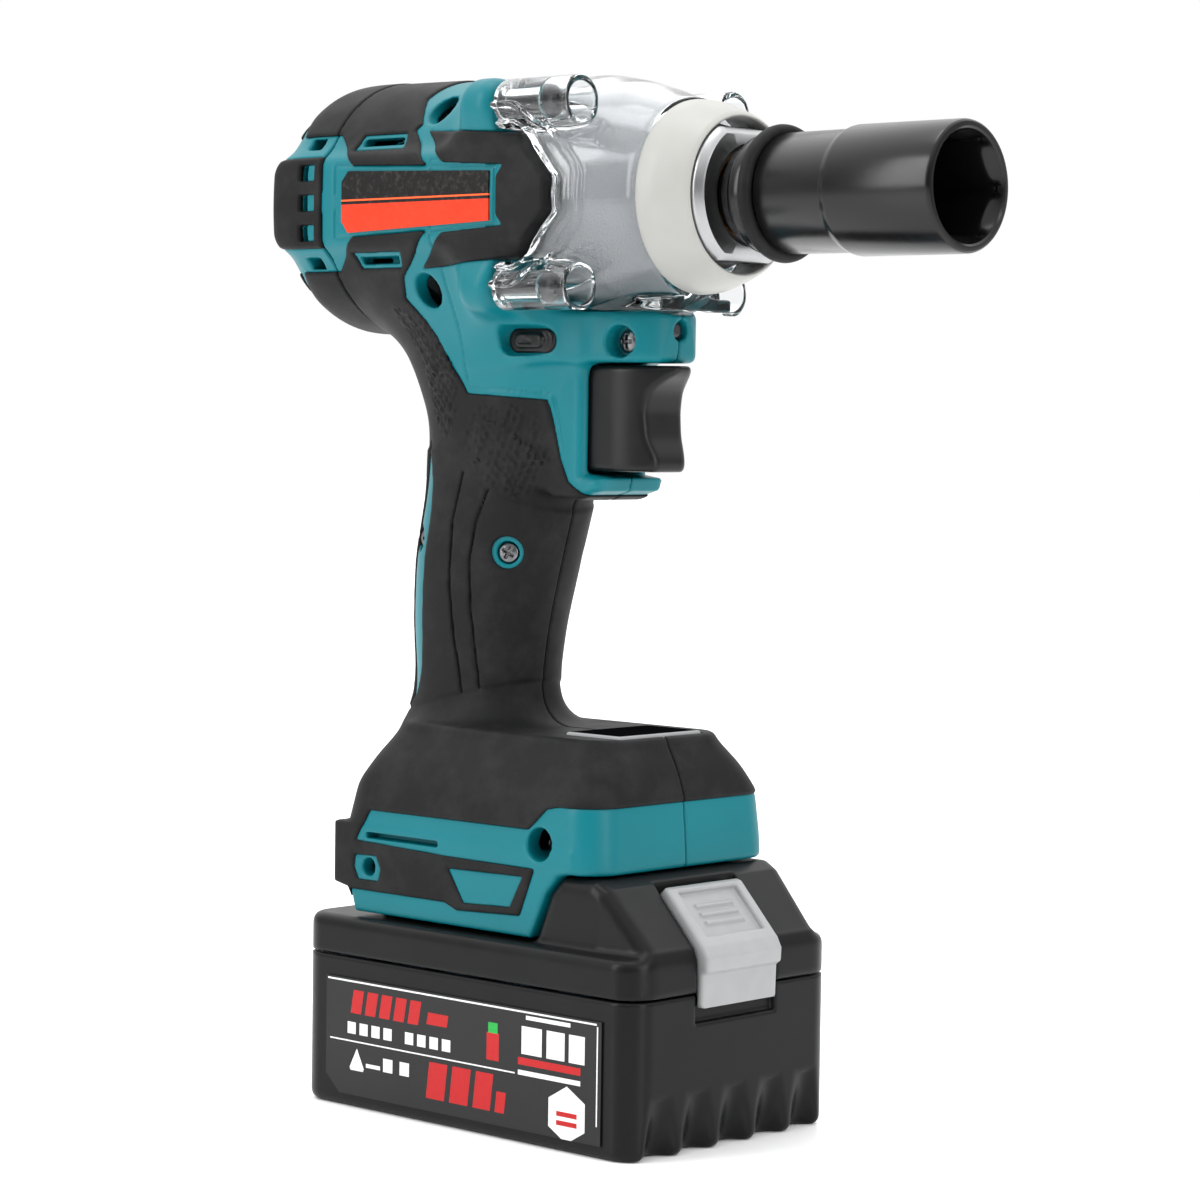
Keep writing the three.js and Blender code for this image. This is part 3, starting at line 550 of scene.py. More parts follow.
for window in over_and_under(SLOT):
    pocket = outline(HALF, window, rounding=-1.0)
    shell = cut(shell, shared(pocket, -(form + 3.0)), 0.3)
    shell = cut(shell, shared(pocket + 0.4, HALF.x + 39), 0.3)
foot_slot = shared(slab(HALF, x=(-38.2, -12.4), z=(68.8, 70.3)), 30 - HALF.y)
shell = cut(shell, foot_slot, 0.3)
shell = shared(shell, seams)
right_shell = cut(shell, screw_wells(HALF), 0.5)

teal = Finish("teal_moulding", Roughness=0.4, Specular_IOR_Level=0.2)
teal.mottle(colour(0, 94, 103), colour(2, 106, 115), 0.03, 4)
teal.wear(0.34, 0.14, 0.006, 5)
teal.bump(teal.noise(0.00045, 2), 0.00002, 0.5)


def mount(piece, finish, body, node):
    """Gives a piece its finish, the body it moves with and the model node it stands for."""
    piece.data.materials.append(finish.material)
    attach(piece, body)
    if node:
        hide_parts(node)


housing_right = HALF.mesh("housing_shell_right", right_shell, mirror=True)
housing_left = HALF.mesh("housing_shell_left", shell)
for piece, node in ((housing_right, "housing_right"), (housing_left, "housing_left")):
    mount(piece, teal, "tool", node)


# ---------------------------------------------------------------------------------------------
# Overmould: soft black elastomer shot over the housing halves. It stands half a millimetre proud
# of the teal with a rounded edge, and has a raised palm panel and pebbled patches on the grip.
PALM_PANEL = [(-25.4, 168), (-12.9, 158), (4, 151.8), (7, 149), (6, 142.6), (4, 134), (-0.7, 126.4),
              (-2.2, 121), (-3, 112.4), (-7.6, 109.8), (-23, 106), (-40, 102), (-52, 100), (-52, 168)]
PEBBLES = [(-15.1, 178.2), (-5.2, 178.6), (0.2, 176.4), (2.9, 171.1), (4.7, 164.8), (-0.4, 160.2),
           (-5.7, 156.8), (-14.8, 162.4), (-19.6, 169.4), (-18.4, 174)]
REAR_PEBBLES = [(-27.5, 200), (-24, 190), (-23, 183), (-24, 176), (-26.6, 171.5), (-31, 176), (-34, 190),
                (-40, 203)]
PLEATS = [[(-20.3, 162.3), (-24.2, 149.3), (-25.8, 133.6), (-25.1, 120.6), (-22.5, 106.1)],
          [(-12.5, 158), (-16.4, 149.5), (-18.7, 140.4), (-19.4, 127.4), (-18.6, 114.4), (-17.7, 107.3)]]
PANEL_RISE, PEBBLE_RISE = 0.45, 0.13
skin = common(form - RUBBER_PROUD, rubber_zone - 0.3, 0.9)
skin = skin - PANEL_RISE * np.clip(0.5 - outline(HALF, PALM_PANEL) * 1.1, 0, 1)
for pleat in PLEATS:
    there_and_back = pleat + pleat[::-1][1:-1]
    line = np.abs(outline(HALF, there_and_back)) - 0.3
    skin = cut(skin, shared(line, -(form + 0.1)), 0.4)
patch = joined(outline(HALF, PEBBLES, rounding=1), outline(HALF, REAR_PEBBLES, rounding=1))
pebbled = 0
for wave in np.random.default_rng(7).normal(size=(14, 3)):
    wave = wave / np.linalg.norm(wave) * 3.6
    pebbled = pebbled + np.cos(wave[0] * HALF.x + wave[1] * HALF.y + wave[2] * HALF.z + wave.sum() * 9)
skin = skin - PEBBLE_RISE * np.clip(pebbled, -2, 3) * np.clip(0.5 - patch, 0, 1)
skin = cut_all(shared(skin, -(form + RUBBER_DEPTH + 0.1)), openings)
skin = cut(skin, foot_slot, 0.3)
skin = shared(skin, seams)
right_skin = cut(skin, screw_wells(HALF, 0.1), 0.5)

rubber = Finish("soft_overmould", Roughness=0.62, Specular_IOR_Level=0.12)
dust = rubber.ramp(rubber.noise(0.012, 6, 0.7), (0.45, 0.0), (0.8, 1.0))
rubber.put("Base Color", rubber.blend(dust, colour(20, 20, 21), colour(36, 36, 37)))
rubber.wear(0.46, 0.22, 0.008, 4)
rubber.bump(rubber.noise(0.0004, 3), 0.00003, 0.7)

rubber_right = HALF.mesh("grip_overmould_right", right_skin, mirror=True)
rubber_left = HALF.mesh("grip_overmould_left", skin)
for piece, node in ((rubber_right, "grip_rubber_right"), (rubber_left, "grip_rubber_left")):
    mount(piece, rubber, "tool", node)


# ---------------------------------------------------------------------------------------------
# Rear cover and bumper: a domed teal cover with air slots closes the motor end; its rubber
# bumper wraps the corners in three pads and leaves the slots open.
REAR = Block((-91, -36, 195), (-57, 36, 266))
REAR_SCREW_SIDES = (-26, 26)
VENT_HEIGHTS = (AXIS - 7.7, AXIS, AXIS + 7.7)


def turned_field(block, profile):
    """Signed distance to a shape turned about the drive axis, from [x, radius] points."""
    stations, radii = zip(*profile)
    size = soft_curve(block.x, stations, radii, 1.6)
    return (np.hypot(block.y, block.z - AXIS) - size) * 0.75


dome = turned_field(REAR, [(-90.4, 9), (-88, 15.5), (-84, 21.5), (-80, 25.8), (-75.5, 29.8),
                           (-71, 31.9), (-66, 32.2), (-50, 32.2)])
dome = common(dome, -90.2 - REAR.x, 1.5)
land = slab(REAR, x=(-77, -50), y=(-33, 33), z=(AXIS - 11, AXIS + 11), rounding=4)
dome = common(fair(dome, land, 6), np.abs(REAR.y) - LAND, 1.5)
cover = shared(dome, REAR.x - REAR_SEAM + 0.25)
bumper_band = outline(REAR, [(-95, AXIS + 10.4), (-72, AXIS + 11.4), (-56, AXIS + 11.4), (-52.4, AXIS + 8.2),
                             (-54.6, AXIS + 5), (-54.6, AXIS - 5), (-52.4, AXIS - 8.2), (-56, AXIS - 11.4),
                             (-72, AXIS - 11.4), (-95, AXIS - 10.4)])
rear_zone = joined(bumper_band, *[outline(REAR, cap) for cap in over_and_under(CAP)])
for z in VENT_HEIGHTS:
    vent_window = [(-66.2, z - 2.1), (-60.6, z - 2.1), (-60.6, z + 2.1), (-66.2, z + 2.1)]
    rear_zone = shared(rear_zone, -outline(REAR, vent_window, rounding=0.2))
ring = np.abs(np.hypot(REAR.x + 58, REAR.y * 0.55) - 20.5) - 0.9
for limits in ((AXIS - 29, AXIS - 17), (AXIS + 17, AXIS + 29)):
    crescent = shared(ring, slab(REAR, z=limits), 9 - np.abs(REAR.y))
    rear_zone = shared(rear_zone, -crescent)
teal_cover = fair(cover + 1.4, common(cover, -rear_zone, 0.5), 0.25)
teal_cover = common(teal_cover, -(cover + 4), 0.4)
vents = [slab(REAR, x=(-66.2, -63.4), z=(z - 2.1, z + 2.1)) for z in VENT_HEIGHTS]
vents += [slab(REAR, x=(-67, -61.8), z=(z - 1.4, z + 1.4)) for z in (AXIS - 15.2, AXIS + 15.2)]
teal_cover = cut(teal_cover, shared(joined(*vents), 18 - np.abs(REAR.y)), 0.3)
teal_cover = shared(teal_cover, REAR.x - REAR_SEAM + 0.25)
bumper = common(dome - RUBBER_PROUD, rear_zone - 0.3, 0.9)
bumper = shared(bumper, -(dome + RUBBER_DEPTH), REAR.x - REAR_SEAM + 0.1)
for y in REAR_SCREW_SIDES:
    teal_cover = cut(teal_cover, bar(REAR, "x", (y, AXIS), 3.1, (-95, -77.4), 0.3), 0.3)
    bumper = cut(bumper, bar(REAR, "x", (y, AXIS), 3.3, (-95, -77), 0.3), 0.4)

rear_cover = REAR.mesh("rear_cover_shell", teal_cover)
mount(rear_cover, teal, "tool", "rear_cover")
rear_bumper = REAR.mesh("rear_bumper_pads", bumper)
mount(rear_bumper, rubber, "tool", "rear_bumper")


# ---------------------------------------------------------------------------------------------
# Rating plates: printed film on the flat lands, black above and orange below a thin line.
# Each is cut narrower towards the nose and has its rear corners clipped.
def plate(name, points, y, thickness):
    """A thin flat plate on the side of the tool, from a side outline in millimetres."""
    work = bmesh.new()
    corners = [work.verts.new((x * MM, y * MM, z * MM)) for x, z in points]
    face = work.faces.new(corners)
    grown = bmesh.ops.extrude_face_region(work, geom=[face])
    moved = [item for item in grown["geom"] if isinstance(item, bmesh.types.BMVert)]
    bmesh.ops.translate(work, verts=moved, vec=(0, thickness * MM, 0))
    bmesh.ops.recalc_face_normals(work, faces=work.faces)
    flat = bpy.data.meshes.new(name)
    work.to_mesh(flat)
    work.free()
    return finish_mesh(name, flat, sharp=30)


rating = Finish("rating_film", Roughness=0.35, Specular_IOR_Level=0.25)
ORANGE_TOP, LINE_HEIGHT, LINE_HALF = -0.8 * MM, 0.2 * MM, 0.22 * MM
height_up = rating.along("Z") - AXIS * MM
scuffs = rating.ramp(rating.noise(0.0016, 6, 0.8), (0.52, 0.0), (0.62, 1.0))
ink = rating.blend(scuffs, colour(9, 8, 8), colour(38, 32, 28))
orange = rating.blend(rating.noise(0.01, 3), colour(192, 44, 14), colour(206, 54, 22))
plate_print = rating.blend(height_up > ORANGE_TOP, orange, ink)
plate_print = rating.blend(abs(height_up - LINE_HEIGHT) < LINE_HALF, plate_print, colour(240, 90, 40))
rating.put("Base Color", plate_print)
rating.put("Roughness", 0.3 + 0.2 * scuffs)
PLATE = [(-47.6, AXIS + 7.6), (2.6, AXIS + 6), (2.6, AXIS - 6.2), (-47.6, AXIS - 8), (-50, AXIS - 5),
         (-50, AXIS + 5)]
PLATE_THICKNESS = 0.5
for side, y, node in (("right", -33.4, "rating_plate_right"), ("left", 32.9, "rating_plate_left")):
    film_plate = plate(f"rating_film_{side}", PLATE, y, PLATE_THICKNESS)
    mount(film_plate, rating, "tool", node)


# ---------------------------------------------------------------------------------------------
# Hammer case: a shot-blasted alloy casting closes the front of the barrel. It tapers to a nose that
# is machined bright, with two flats, and the anvil's shaft comes through it.
def soften(points, radius, steps=3):
    """Rounds the corners of a closed profile."""
    rounded = []
    for i, (x, r) in enumerate(points):
        before = Vector(points[i - 1]) - Vector((x, r))
        after = Vector(points[(i + 1) % len(points)]) - Vector((x, r))
        reach = min(radius, before.length * 0.45, after.length * 0.45)
        start = Vector((x, r)) + before.normalized() * reach
        end = Vector((x, r)) + after.normalized() * reach
        for step in range(steps + 1):
            t = step / steps
            point = start * (1 - t) ** 2 + 2 * t * (1 - t) * Vector((x, r)) + end * t ** 2
            rounded.append((point.x, point.y))
    return rounded


def circle(radius):
    return lambda angle: radius


def many_sided(sides, apothem, turn=0.0):
    """Radius of a regular polygon with that distance from centre to flat."""
    sector = 2 * math.pi / sides
    return lambda angle: apothem / math.cos((angle - turn + sector / 2) % sector - sector / 2)


def flatted(radius, flat):
    """A circle cut by one flat above and one below."""
    return lambda angle: min(radius, flat / max(abs(math.sin(angle)), 1e-6))


def turned(name, rings, steps=96, sharp=35):
    """A closed ring-shaped body turned about the drive axis from (x, radius or section) pairs."""
    work = bmesh.new()
    loops = []
    for x, section in rings:
        section = section if callable(section) else circle(section)
        loop = []
        for i in range(steps):
            angle = 2 * math.pi * i / steps
            radius = section(angle)
            loop.append(work.verts.new((x * MM, radius * math.cos(angle) * MM,
                                        (AXIS + radius * math.sin(angle)) * MM)))
        loops.append(loop)
    for first, second in zip(loops, loops[1:] + loops[:1]):
        for i in range(steps):
            work.faces.new((first[i], first[(i + 1) % steps], second[(i + 1) % steps], second[i]))
    solid = bpy.data.meshes.new(name)
    work.to_mesh(solid)
    work.free()
    return finish_mesh(name, solid, sharp)


case_profile = soften([(-33, 22.6), (-15, 22.6), (-12.5, 27), (16, 27), (27, 26.2), (36, 22.6), (44, 18.6),
                       (53, 16.2), (53, 10.6), (50, 10.6), (50, 14.5), (34, 14.5), (30, 24.2),
                       (-10, 24.2), (-12, 21.2), (-33, 21.2)], 1.2)
case = turned("hammer_case_casting", case_profile)
nose_profile = [(50, 10.5)] + [(x, flatted(r, r - 2.6)) for x, r in
                               ((50, 18.6), (56.4, 18.6), (56.8, 18.4), (58.0, 17.3), (58.3, 16.9))]
nose_profile += [(58.4, 12.4), (58.0, 12.0), (56.6, 11.6), (56.4, 10.5)]
nose = turned("machined_nose", nose_profile, steps=144)
casting = Finish("blasted_casting", Metallic=1.0, Roughness=0.5)
grit = casting.noise(0.0006, 4, 0.65)
casting.mottle(colour(150, 152, 154), colour(176, 177, 179), 0.02, 3)
casting.put("Roughness", 0.44 + 0.25 * grit)
casting.bump(grit, 0.0006, 1.0)
mount(case, casting, "tool", "hammer_case")
machined = Finish("machined_alloy", Metallic=1.0, Roughness=0.32)
turning = machined.node("ShaderNodeTexWave", {"bands_direction": "X"}, {
    "Vector": machined.place(), "Scale": 900.0, "Distortion": 2.0})
machined.mottle(colour(140, 141, 142), colour(168, 169, 170), 0.004, 4)
machined.put("Roughness", 0.28 + 0.12 * turning)
mount(nose, machined, "tool", None)


# ---------------------------------------------------------------------------------------------
# Nose bumper: a ring of milky plastic pressed over the shoulder of the hammer case. It keeps the
# casting off the work and holds the front edge of the clear cover.
bumper_profile = soften([(41.9, 21.4), (41.9, 23.8), (46.5, 23.4), (51.5, 21.7), (55.0, 20.2), (56.0, 19.3),
                         (55.6, 18.8), (50, 18.9)], 1.4, 4)
nose_bumper = turned("nose_bumper_ring", bumper_profile)
milky = Finish("milky_plastic", Roughness=0.42, Specular_IOR_Level=0.3)
milky.mottle(colour(148, 148, 144), colour(158, 158, 154), 0.01, 3)
milky.wear(0.32, 0.16, 0.003, 4)
milky.bump(milky.noise(0.0008, 3), 0.00002, 0.5)
mount(nose_bumper, milky, "tool", "nose_bumper")


# ---------------------------------------------------------------------------------------------
# Nose cover: one clear moulding over the hammer case, held by four screws down long lugs.
# Its rear edge is notched round the side pads and stiffened by a folded rim.
COVER = Block((2, -36, 200), (44, 36, 262))
COVER_LENGTH = slab(COVER, x=(3.9, 41.6))
LUGS = [(y, z) for y in LUG_SIDES for z in LUG_HEIGHTS]
wall_out = turned_field(COVER, [(-20, 31.2), (4, 31.2), (15, 31), (24, 29.4), (33, 26.8), (41.8, 23.9),
                                (60, 18)])
for lug in LUGS:
    wall_out = fair(wall_out, bar(COVER, "x", lug, 6.0, (4.2, 28.8), 0.8), 2.5)
rail = slab(COVER, x=(5, 42), y=(-13, 13), z=(202.6, 206), rounding=0.8)
wall_out = fair(wall_out, rail, 1.5)
wall_in = turned_field(COVER, [(-20, 29.2), (4, 29.2), (15, 29), (24, 27.5), (33, 24.9), (41.8, 22.2),
                               (60, 16)])
clear_wall = shared(common(wall_out, -wall_in, 0.4), COVER_LENGTH)
notch = outline(COVER, [(-9, AXIS + 15.6), (3, AXIS + 15.6), (9.4, AXIS + 15.4), (20.8, AXIS + 4),
                        (20.8, AXIS - 4), (9.4, AXIS - 15.4), (3, AXIS - 15.6), (-9, AXIS - 15.6)])
rim_band = joined(np.abs(notch - 1.4) - 0.8, np.abs(notch - 6.2) - 0.7)
rim_bead = shared(rim_band, wall_out - 0.9, -(wall_out + 0.6), COVER_LENGTH)
clear_wall = fair(clear_wall, rim_bead, 0.5)
clear_wall = cut(clear_wall, notch - 0.5, 0.3)
front_rim = shared(np.abs(COVER.x - 41.0) - 0.7, np.abs(np.hypot(COVER.y, COVER.z - AXIS) - 23.2) - 1.0)
clear_wall = fair(clear_wall, front_rim, 0.4)
for lug in LUGS:
    clear_wall = cut(clear_wall, bar(COVER, "x", lug, 2.3, (0, 30), 0.2), 0.2)
    clear_wall = cut(clear_wall, bar(COVER, "x", lug, 4.5, (18.5, 40), 0.4), 0.4)
clear_wall = shared(clear_wall, 202.5 - COVER.z)
clear_cover = COVER.mesh("clear_nose_cover", clear_wall)
clear = Finish("clear_moulding", Roughness=0.05, IOR=1.36, Transmission_Weight=1.0)
clear.mottle(colour(246, 249, 250), colour(252, 253, 254), 0.03, 2)
clear.wear(0.03, 0.07, 0.004, 4)
mount(clear_cover, clear, "tool", "nose_cover")


# ---------------------------------------------------------------------------------------------
# Screws: bright pan heads with a cross recess hold the clamshell; black cap screws hold the nose
# cover at the bottom of its lugs.
def screw_head(name, place, axis, radius, length):
    """A domed head with a cross recess that faces along axis, on a shank of that length."""
    small = Block((-radius - 0.5, -radius - 0.5, -length - 0.5), (radius + 0.5, radius + 0.5, 2.4), 0.16)
    head = bar(small, "z", (0, 0), radius, (-0.8, 1.5), 0.5)
    dome_top = np.sqrt(small.x ** 2 + small.y ** 2 + (small.z + 4.2) ** 2) - 5.6
    cross = joined(slab(small, x=(-0.42, 0.42), y=(-1.7, 1.7)), slab(small, x=(-1.7, 1.7), y=(-0.42, 0.42)))
    head = cut(shared(head, dome_top), shared(cross, 0.1 - small.z), 0.12)
    head = joined(head, bar(small, "z", (0, 0), radius * 0.5, (-length, 0), 0.2))
    screw = small.mesh(name, head)
    turn = Vector((0, 0, 1)).rotation_difference(Vector(axis)).to_matrix().to_4x4()
    screw.data.transform(Matrix.Translation(Vector(place) * MM) @ turn)
    return screw


zinc = Finish("bright_screw", Metallic=1.0, Roughness=0.25)
zinc.mottle(colour(60, 60, 62), colour(130, 130, 132), 0.0012, 4)
zinc.wear(0.18, 0.25, 0.0008, 3)
SHANK = 6
for name, (x, z, radius) in SCREWS.items():
    seat = -29 if name == "foot_screw_rear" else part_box(name)[0].y / MM + 2.4
    place, facing_way, size = (x, seat, z), (0, -1, 0), min(radius - 0.5, 2.8)
    if name == "grip_screw":
        place, facing_way, size = (-9.9, -11.6, GRIP_Z), (0.5, -0.87, 0), 2.5
    mount(screw_head(f"{name}_detail", place, facing_way, size, SHANK), zinc, "tool", name)
blackened = Finish("black_oxide", Metallic=0.6, Roughness=0.3)
blackened.mottle(colour(20, 20, 21), colour(44, 44, 46), 0.001, 4)
blackened.wear(0.25, 0.2, 0.0012, 3)
for number, (y, z) in enumerate(LUGS, 1):
    screw = screw_head(f"nose_screw_{number}", (20, y, z), (1, 0, 0), 3.9, 28)
    mount(screw, blackened, "tool", f"case_screw_{number}")


# ---------------------------------------------------------------------------------------------
# Impact socket: forged and hardened steel, blacked and oiled, with a thinner neck, a hexagon mouth
# in front and a square behind. A rubber ring in its groove holds it on the anvil.
HEX_TURN = math.radians(30)
HEX, HEX_MOUTH = many_sided(6, 11.0, HEX_TURN), many_sided(6, 11.6, HEX_TURN)
SQUARE, SQUARE_MOUTH = many_sided(4, 6.6), many_sided(4, 7.4)
socket_rings = [(62.9, 11.2), (62.9, 13.4), (63.5, 14.2), (64.2, 14.4), (66.6, 14.4), (67.0, 14.2),
                (67.1, 13.2), (70.9, 13.2), (71.0, 14.2), (71.4, 14.4), (90.6, 14.5), (91.6, 14.8),
                (92.7, 15.3), (93.4, SOCKET_RADIUS), (122.6, SOCKET_RADIUS), (123.3, 15.2), (123.7, 14.8),
                (123.8, 14.3), (123.8, 13.7), (123.4, 13.2), (122.2, 12.7), (121.2, HEX_MOUTH), (119.8, HEX),
                (99, HEX), (98, 8), (97.5, 6), (85, 6), (84.6, SQUARE), (64, SQUARE), (63.1, SQUARE_MOUTH)]
socket = turned("impact_socket", socket_rings, steps=144, sharp=28)
oiled = Finish("oiled_black", Roughness=0.2, Specular_IOR_Level=0.28)
smudge = oiled.noise(0.012, 5, 0.6)
oiled.put("Base Color", oiled.blend(smudge, colour(5, 5, 6), colour(13, 13, 14)))
oiled.put("Roughness", 0.14 + 0.16 * smudge)
oiled.bump(oiled.noise(0.0015, 4), 0.00002, 0.5)
mount(socket, oiled, "drive_socket", "socket")
RING_PLACE, RING_RADIUS, RING_THICKNESS, RING_SIDES = 69, 14.75, 1.75, 20
turns_round_ring = [2 * math.pi * i / RING_SIDES for i in range(RING_SIDES)]
ring_section = [(RING_PLACE + RING_THICKNESS * math.cos(angle), RING_RADIUS + RING_THICKNESS * math.sin(angle))
                for angle in turns_round_ring]
socket_ring = turned("socket_retaining_ring", ring_section, sharp=60)
mount(socket_ring, rubber, "drive_socket", "socket_ring")


# ---------------------------------------------------------------------------------------------
# Trigger: a satin black lever moulded in nylon. It slides back in the handle on the switch and
# narrows to its front, where the finger rests in a shallow curve.
TRIGGER = Block((10, -11, 161), (41, 11, 191), 0.35)
front = soft_curve(TRIGGER.z, [163.4, 165.5, 168, 172, 178, 183, 186, 187.6, 189.5],
                   [33.4, 34.2, 33.4, 31.6, 31.0, 32.0, 35.0, 38.0, 38.4], 1.0)
trigger_side = common(TRIGGER.x - front, slab(TRIGGER, z=(163.4, 189.4)), 1.2)
trigger_side = common(trigger_side, 11.5 - TRIGGER.x, 0.4)
tapered = 9.4 - np.clip((TRIGGER.x - 21.5) / 18.5, 0, 1) ** 2 * 8.2
lever = common(trigger_side - 0.1, (np.abs(TRIGGER.y) - tapered) * 0.85, 1.6)
trigger = TRIGGER.mesh("trigger_lever_moulding", lever)
satin_black = Finish("satin_black", Roughness=0.3, Specular_IOR_Level=0.2)
satin_black.mottle(colour(13, 13, 14), colour(22, 22, 23), 0.01, 4)
satin_black.wear(0.26, 0.16, 0.005, 4)
satin_black.bump(satin_black.noise(0.0005, 2), 0.00002, 0.4)
mount(trigger, satin_black, "trigger_lever", "trigger")


# ---------------------------------------------------------------------------------------------
# Direction bar: one satin black bar that passes through the handle above the trigger and slides
# sideways. Each end has a raised pad with an arrow pressed into it.
BUTTON = Block((-7, -21.5, 190), (12, 21.5, 201), 0.35)
button = slab(BUTTON, x=(-5.6, 10.0), z=(192.3, 198.5), rounding=3.0)
button = common(button, np.abs(BUTTON.y) - 17.4, 1.0)
raised = slab(BUTTON, x=(-2.6, 7.0), z=(193.6, 197.2), rounding=1.7)
button = fair(button, common(raised, np.abs(BUTTON.y) - 18.6, 0.8), 0.5)
arrow = outline(BUTTON, [(-1.2, 194.6), (3.4, 194.6), (3.4, 195.2), (0.6, 196.4), (-1.2, 195.2)])
button = cut(button, shared(arrow, 18.2 - np.abs(BUTTON.y)), 0.15)
direction_bar = BUTTON.mesh("direction_bar_moulding", button)
mount(direction_bar, satin_black, "direction_switch", "direction_bar")


# ---------------------------------------------------------------------------------------------
# Work lamp: a small smoked lens, domed at its front, pushed into the hole in the bracket under
# the nose. It lights the work when the trigger is pulled.
LAMP = Block((30, -3, 195), (38, 3, 202), 0.2)
lamp_dome = LAMP.mesh("work_lamp_dome", bar(LAMP, "x", (0, 198.2), 2.2, (31.4, 35.4), 1.2))
lamp_lens = Finish("smoked_lens", Roughness=0.08)
lamp_lens.mottle(colour(20, 22, 24), colour(52, 56, 60), 0.002, 2)
mount(lamp_dome, lamp_lens, "tool", "lamp")


# ---------------------------------------------------------------------------------------------
# Display pad: a smooth black panel with a pale printed rim, let into the top of the foot. It
# carries the mode button and its lights, which are dark here.
PAD = Block((6, -22, 94), (36, 22, 99.5), 0.35)
pad_form = slab(PAD, x=(13.8, 32.2), y=(-15.2, 15.2), z=(95.4, 98.7), rounding=0.7)
display = PAD.mesh("display_pad", pad_form)
piano = Finish("piano_black", Roughness=0.5, Specular_IOR_Level=0.0)
screen = piano.blend(piano.noise(0.02, 3), colour(5, 5, 6), colour(11, 11, 12))
PAD_MIDDLE, SCREEN_HALF_X, SCREEN_HALF_Y = 23 * MM, 8.5 * MM, 14.5 * MM
rim = (abs(piano.along("X") - PAD_MIDDLE) > SCREEN_HALF_X) | (abs(piano.along("Y")) > SCREEN_HALF_Y)
piano.put("Base Color", piano.blend(rim, screen, colour(150, 151, 152)))
piano.wear(0.45, 0.12, 0.004, 3)
mount(display, piano, "tool", "display_panel")


# ---------------------------------------------------------------------------------------------
# Battery: a deep black tub and a lid with the slide rail and the sloped front, moulded in a
# harder black than the grip. The tub's front lower edge has finger ribs.
BATTERY = Block((-60, -39, -1), (62, 39, 42))
CASE_PLAN = (58, 37.5, 7.5)
TUB_TOP = 38.5


def latch_room(block, grow=0.3):
    """The recess that the latch sits and travels in."""
    side = outline(block, [(43.6, 64), (46.8, 64), (59.6, 51.5), (63, 48), (63, 31.8), (56.9, 31.8),
                           (56.6, 36), (53.6, 44), (43.6, 55)], rounding=grow)
    return shared(side, np.abs(block.y) - 14.4 - grow)


tub = common(rounded_plan(BATTERY, *CASE_PLAN), -BATTERY.z, 2.6)
for y in (-27, -13.5, 0, 13.5, 27):
    scoop = np.hypot(BATTERY.y - y, (BATTERY.x - CASE_PLAN[0]) - (BATTERY.z - 8) * 0.3 - 2.6) - 4.4
    tub = cut(tub, shared(scoop, BATTERY.z - 13.5), 2.4)
tub = shared(tub, BATTERY.z - TUB_TOP + 0.05)
tub_hollow = shared(rounded_plan(BATTERY, 55.4, 34.9, 5), 2.4 - BATTERY.z, BATTERY.x - 51)
tub = cut(cut(tub, tub_hollow, 0.4), latch_room(BATTERY), 0.4)
tub = common(tub, BATTERY.z - TUB_TOP, 0.35)
battery_tub = BATTERY.mesh("battery_tub", tub)

LID = Block((-60, -39, 36), (62, 39, 66))
lid = common(rounded_plan(LID, *CASE_PLAN), LID.z - 48.6, 3.2)
lid = common(lid, TUB_TOP + 0.35 - LID.z, 0.35)
hump_side = outline(LID, [(20.6, 40), (20.8, 50), (25.6, 61.6), (29.6, 65.6), (40.4, 65.6), (44, 63.6),
                          (57.2, 49.6), (57.8, 40)])
hump = common(hump_side, np.abs(LID.y) - 33.2 + np.clip(LID.x - 42, 0, 20) * 0.1, 4.0)
lid = fair(lid, hump, 2.0)
rail_stem = slab(LID, x=(-44.5, 32), y=(-21.4, 21.4), z=(44, 60))
rail_head = slab(LID, x=(-44.5, 32), y=(-24.1, 24.1), z=(53.9, 62.2), rounding=0.6)
lid = joined(lid, rail_stem, rail_head)
lid = cut(lid, shared(rounded_plan(LID, 55, 34.6, 5), LID.z - 45.2), 0.4)
lid = cut(lid, latch_room(LID), 0.5)
battery_lid = LID.mesh("battery_lid_moulding", lid)

hard = Finish("battery_moulding", Roughness=0.32, Specular_IOR_Level=0.14)
hard.mottle(colour(11, 11, 12), colour(20, 20, 21), 0.02, 4)
hard.wear(0.26, 0.14, 0.006, 4)
hard.bump(hard.noise(0.0005, 3), 0.00003, 0.5)
for piece, node in ((battery_tub, "battery_case"), (battery_lid, "battery_lid")):
    mount(piece, hard, "battery", node)


# ---------------------------------------------------------------------------------------------
# Battery label: a black printed film stuck on the tub's right side. Thin white rules frame plain
# red, white and green marks, which stand for no words.
LABEL_OUTLINE = [(-47.5, 33.2), (48.6, 33.2), (48.6, 3.4), (33, 3.4), (-42.5, 3.4), (-47.5, 8)]
label = plate("battery_label_film", LABEL_OUTLINE, -38.0, 0.3)
label_film = Finish("battery_print", Roughness=0.34, Specular_IOR_Level=0.3)
along_x, along_z = label_film.along("X"), label_film.along("Z")


def block_mark(x, z, half_x, half_z, slant=0.0):
    """A printed block; slant leans its ends like a speed mark."""
    lean = along_x - x * MM - (along_z - z * MM) * slant
    return (abs(lean) < half_x * MM) * (abs(along_z - z * MM) < half_z * MM)


def hexagon_mark(x, z, apothem):
    across_x, across_z = abs(along_x - x * MM), abs(along_z - z * MM)
    return (across_x < apothem * MM) * (across_x * 0.5 + across_z * 0.866 < apothem * MM)


def triangle_mark(x, base, half_width, steep):
    rise = abs(along_x - x * MM) * steep + abs(along_z - (base + 0.7) * MM)
    return (rise < half_width * MM) * (along_z > base * MM)


def printed(marks):
    """One mask for a list of block marks."""
    return functools.reduce(operator.or_, [block_mark(*mark) for mark in marks])


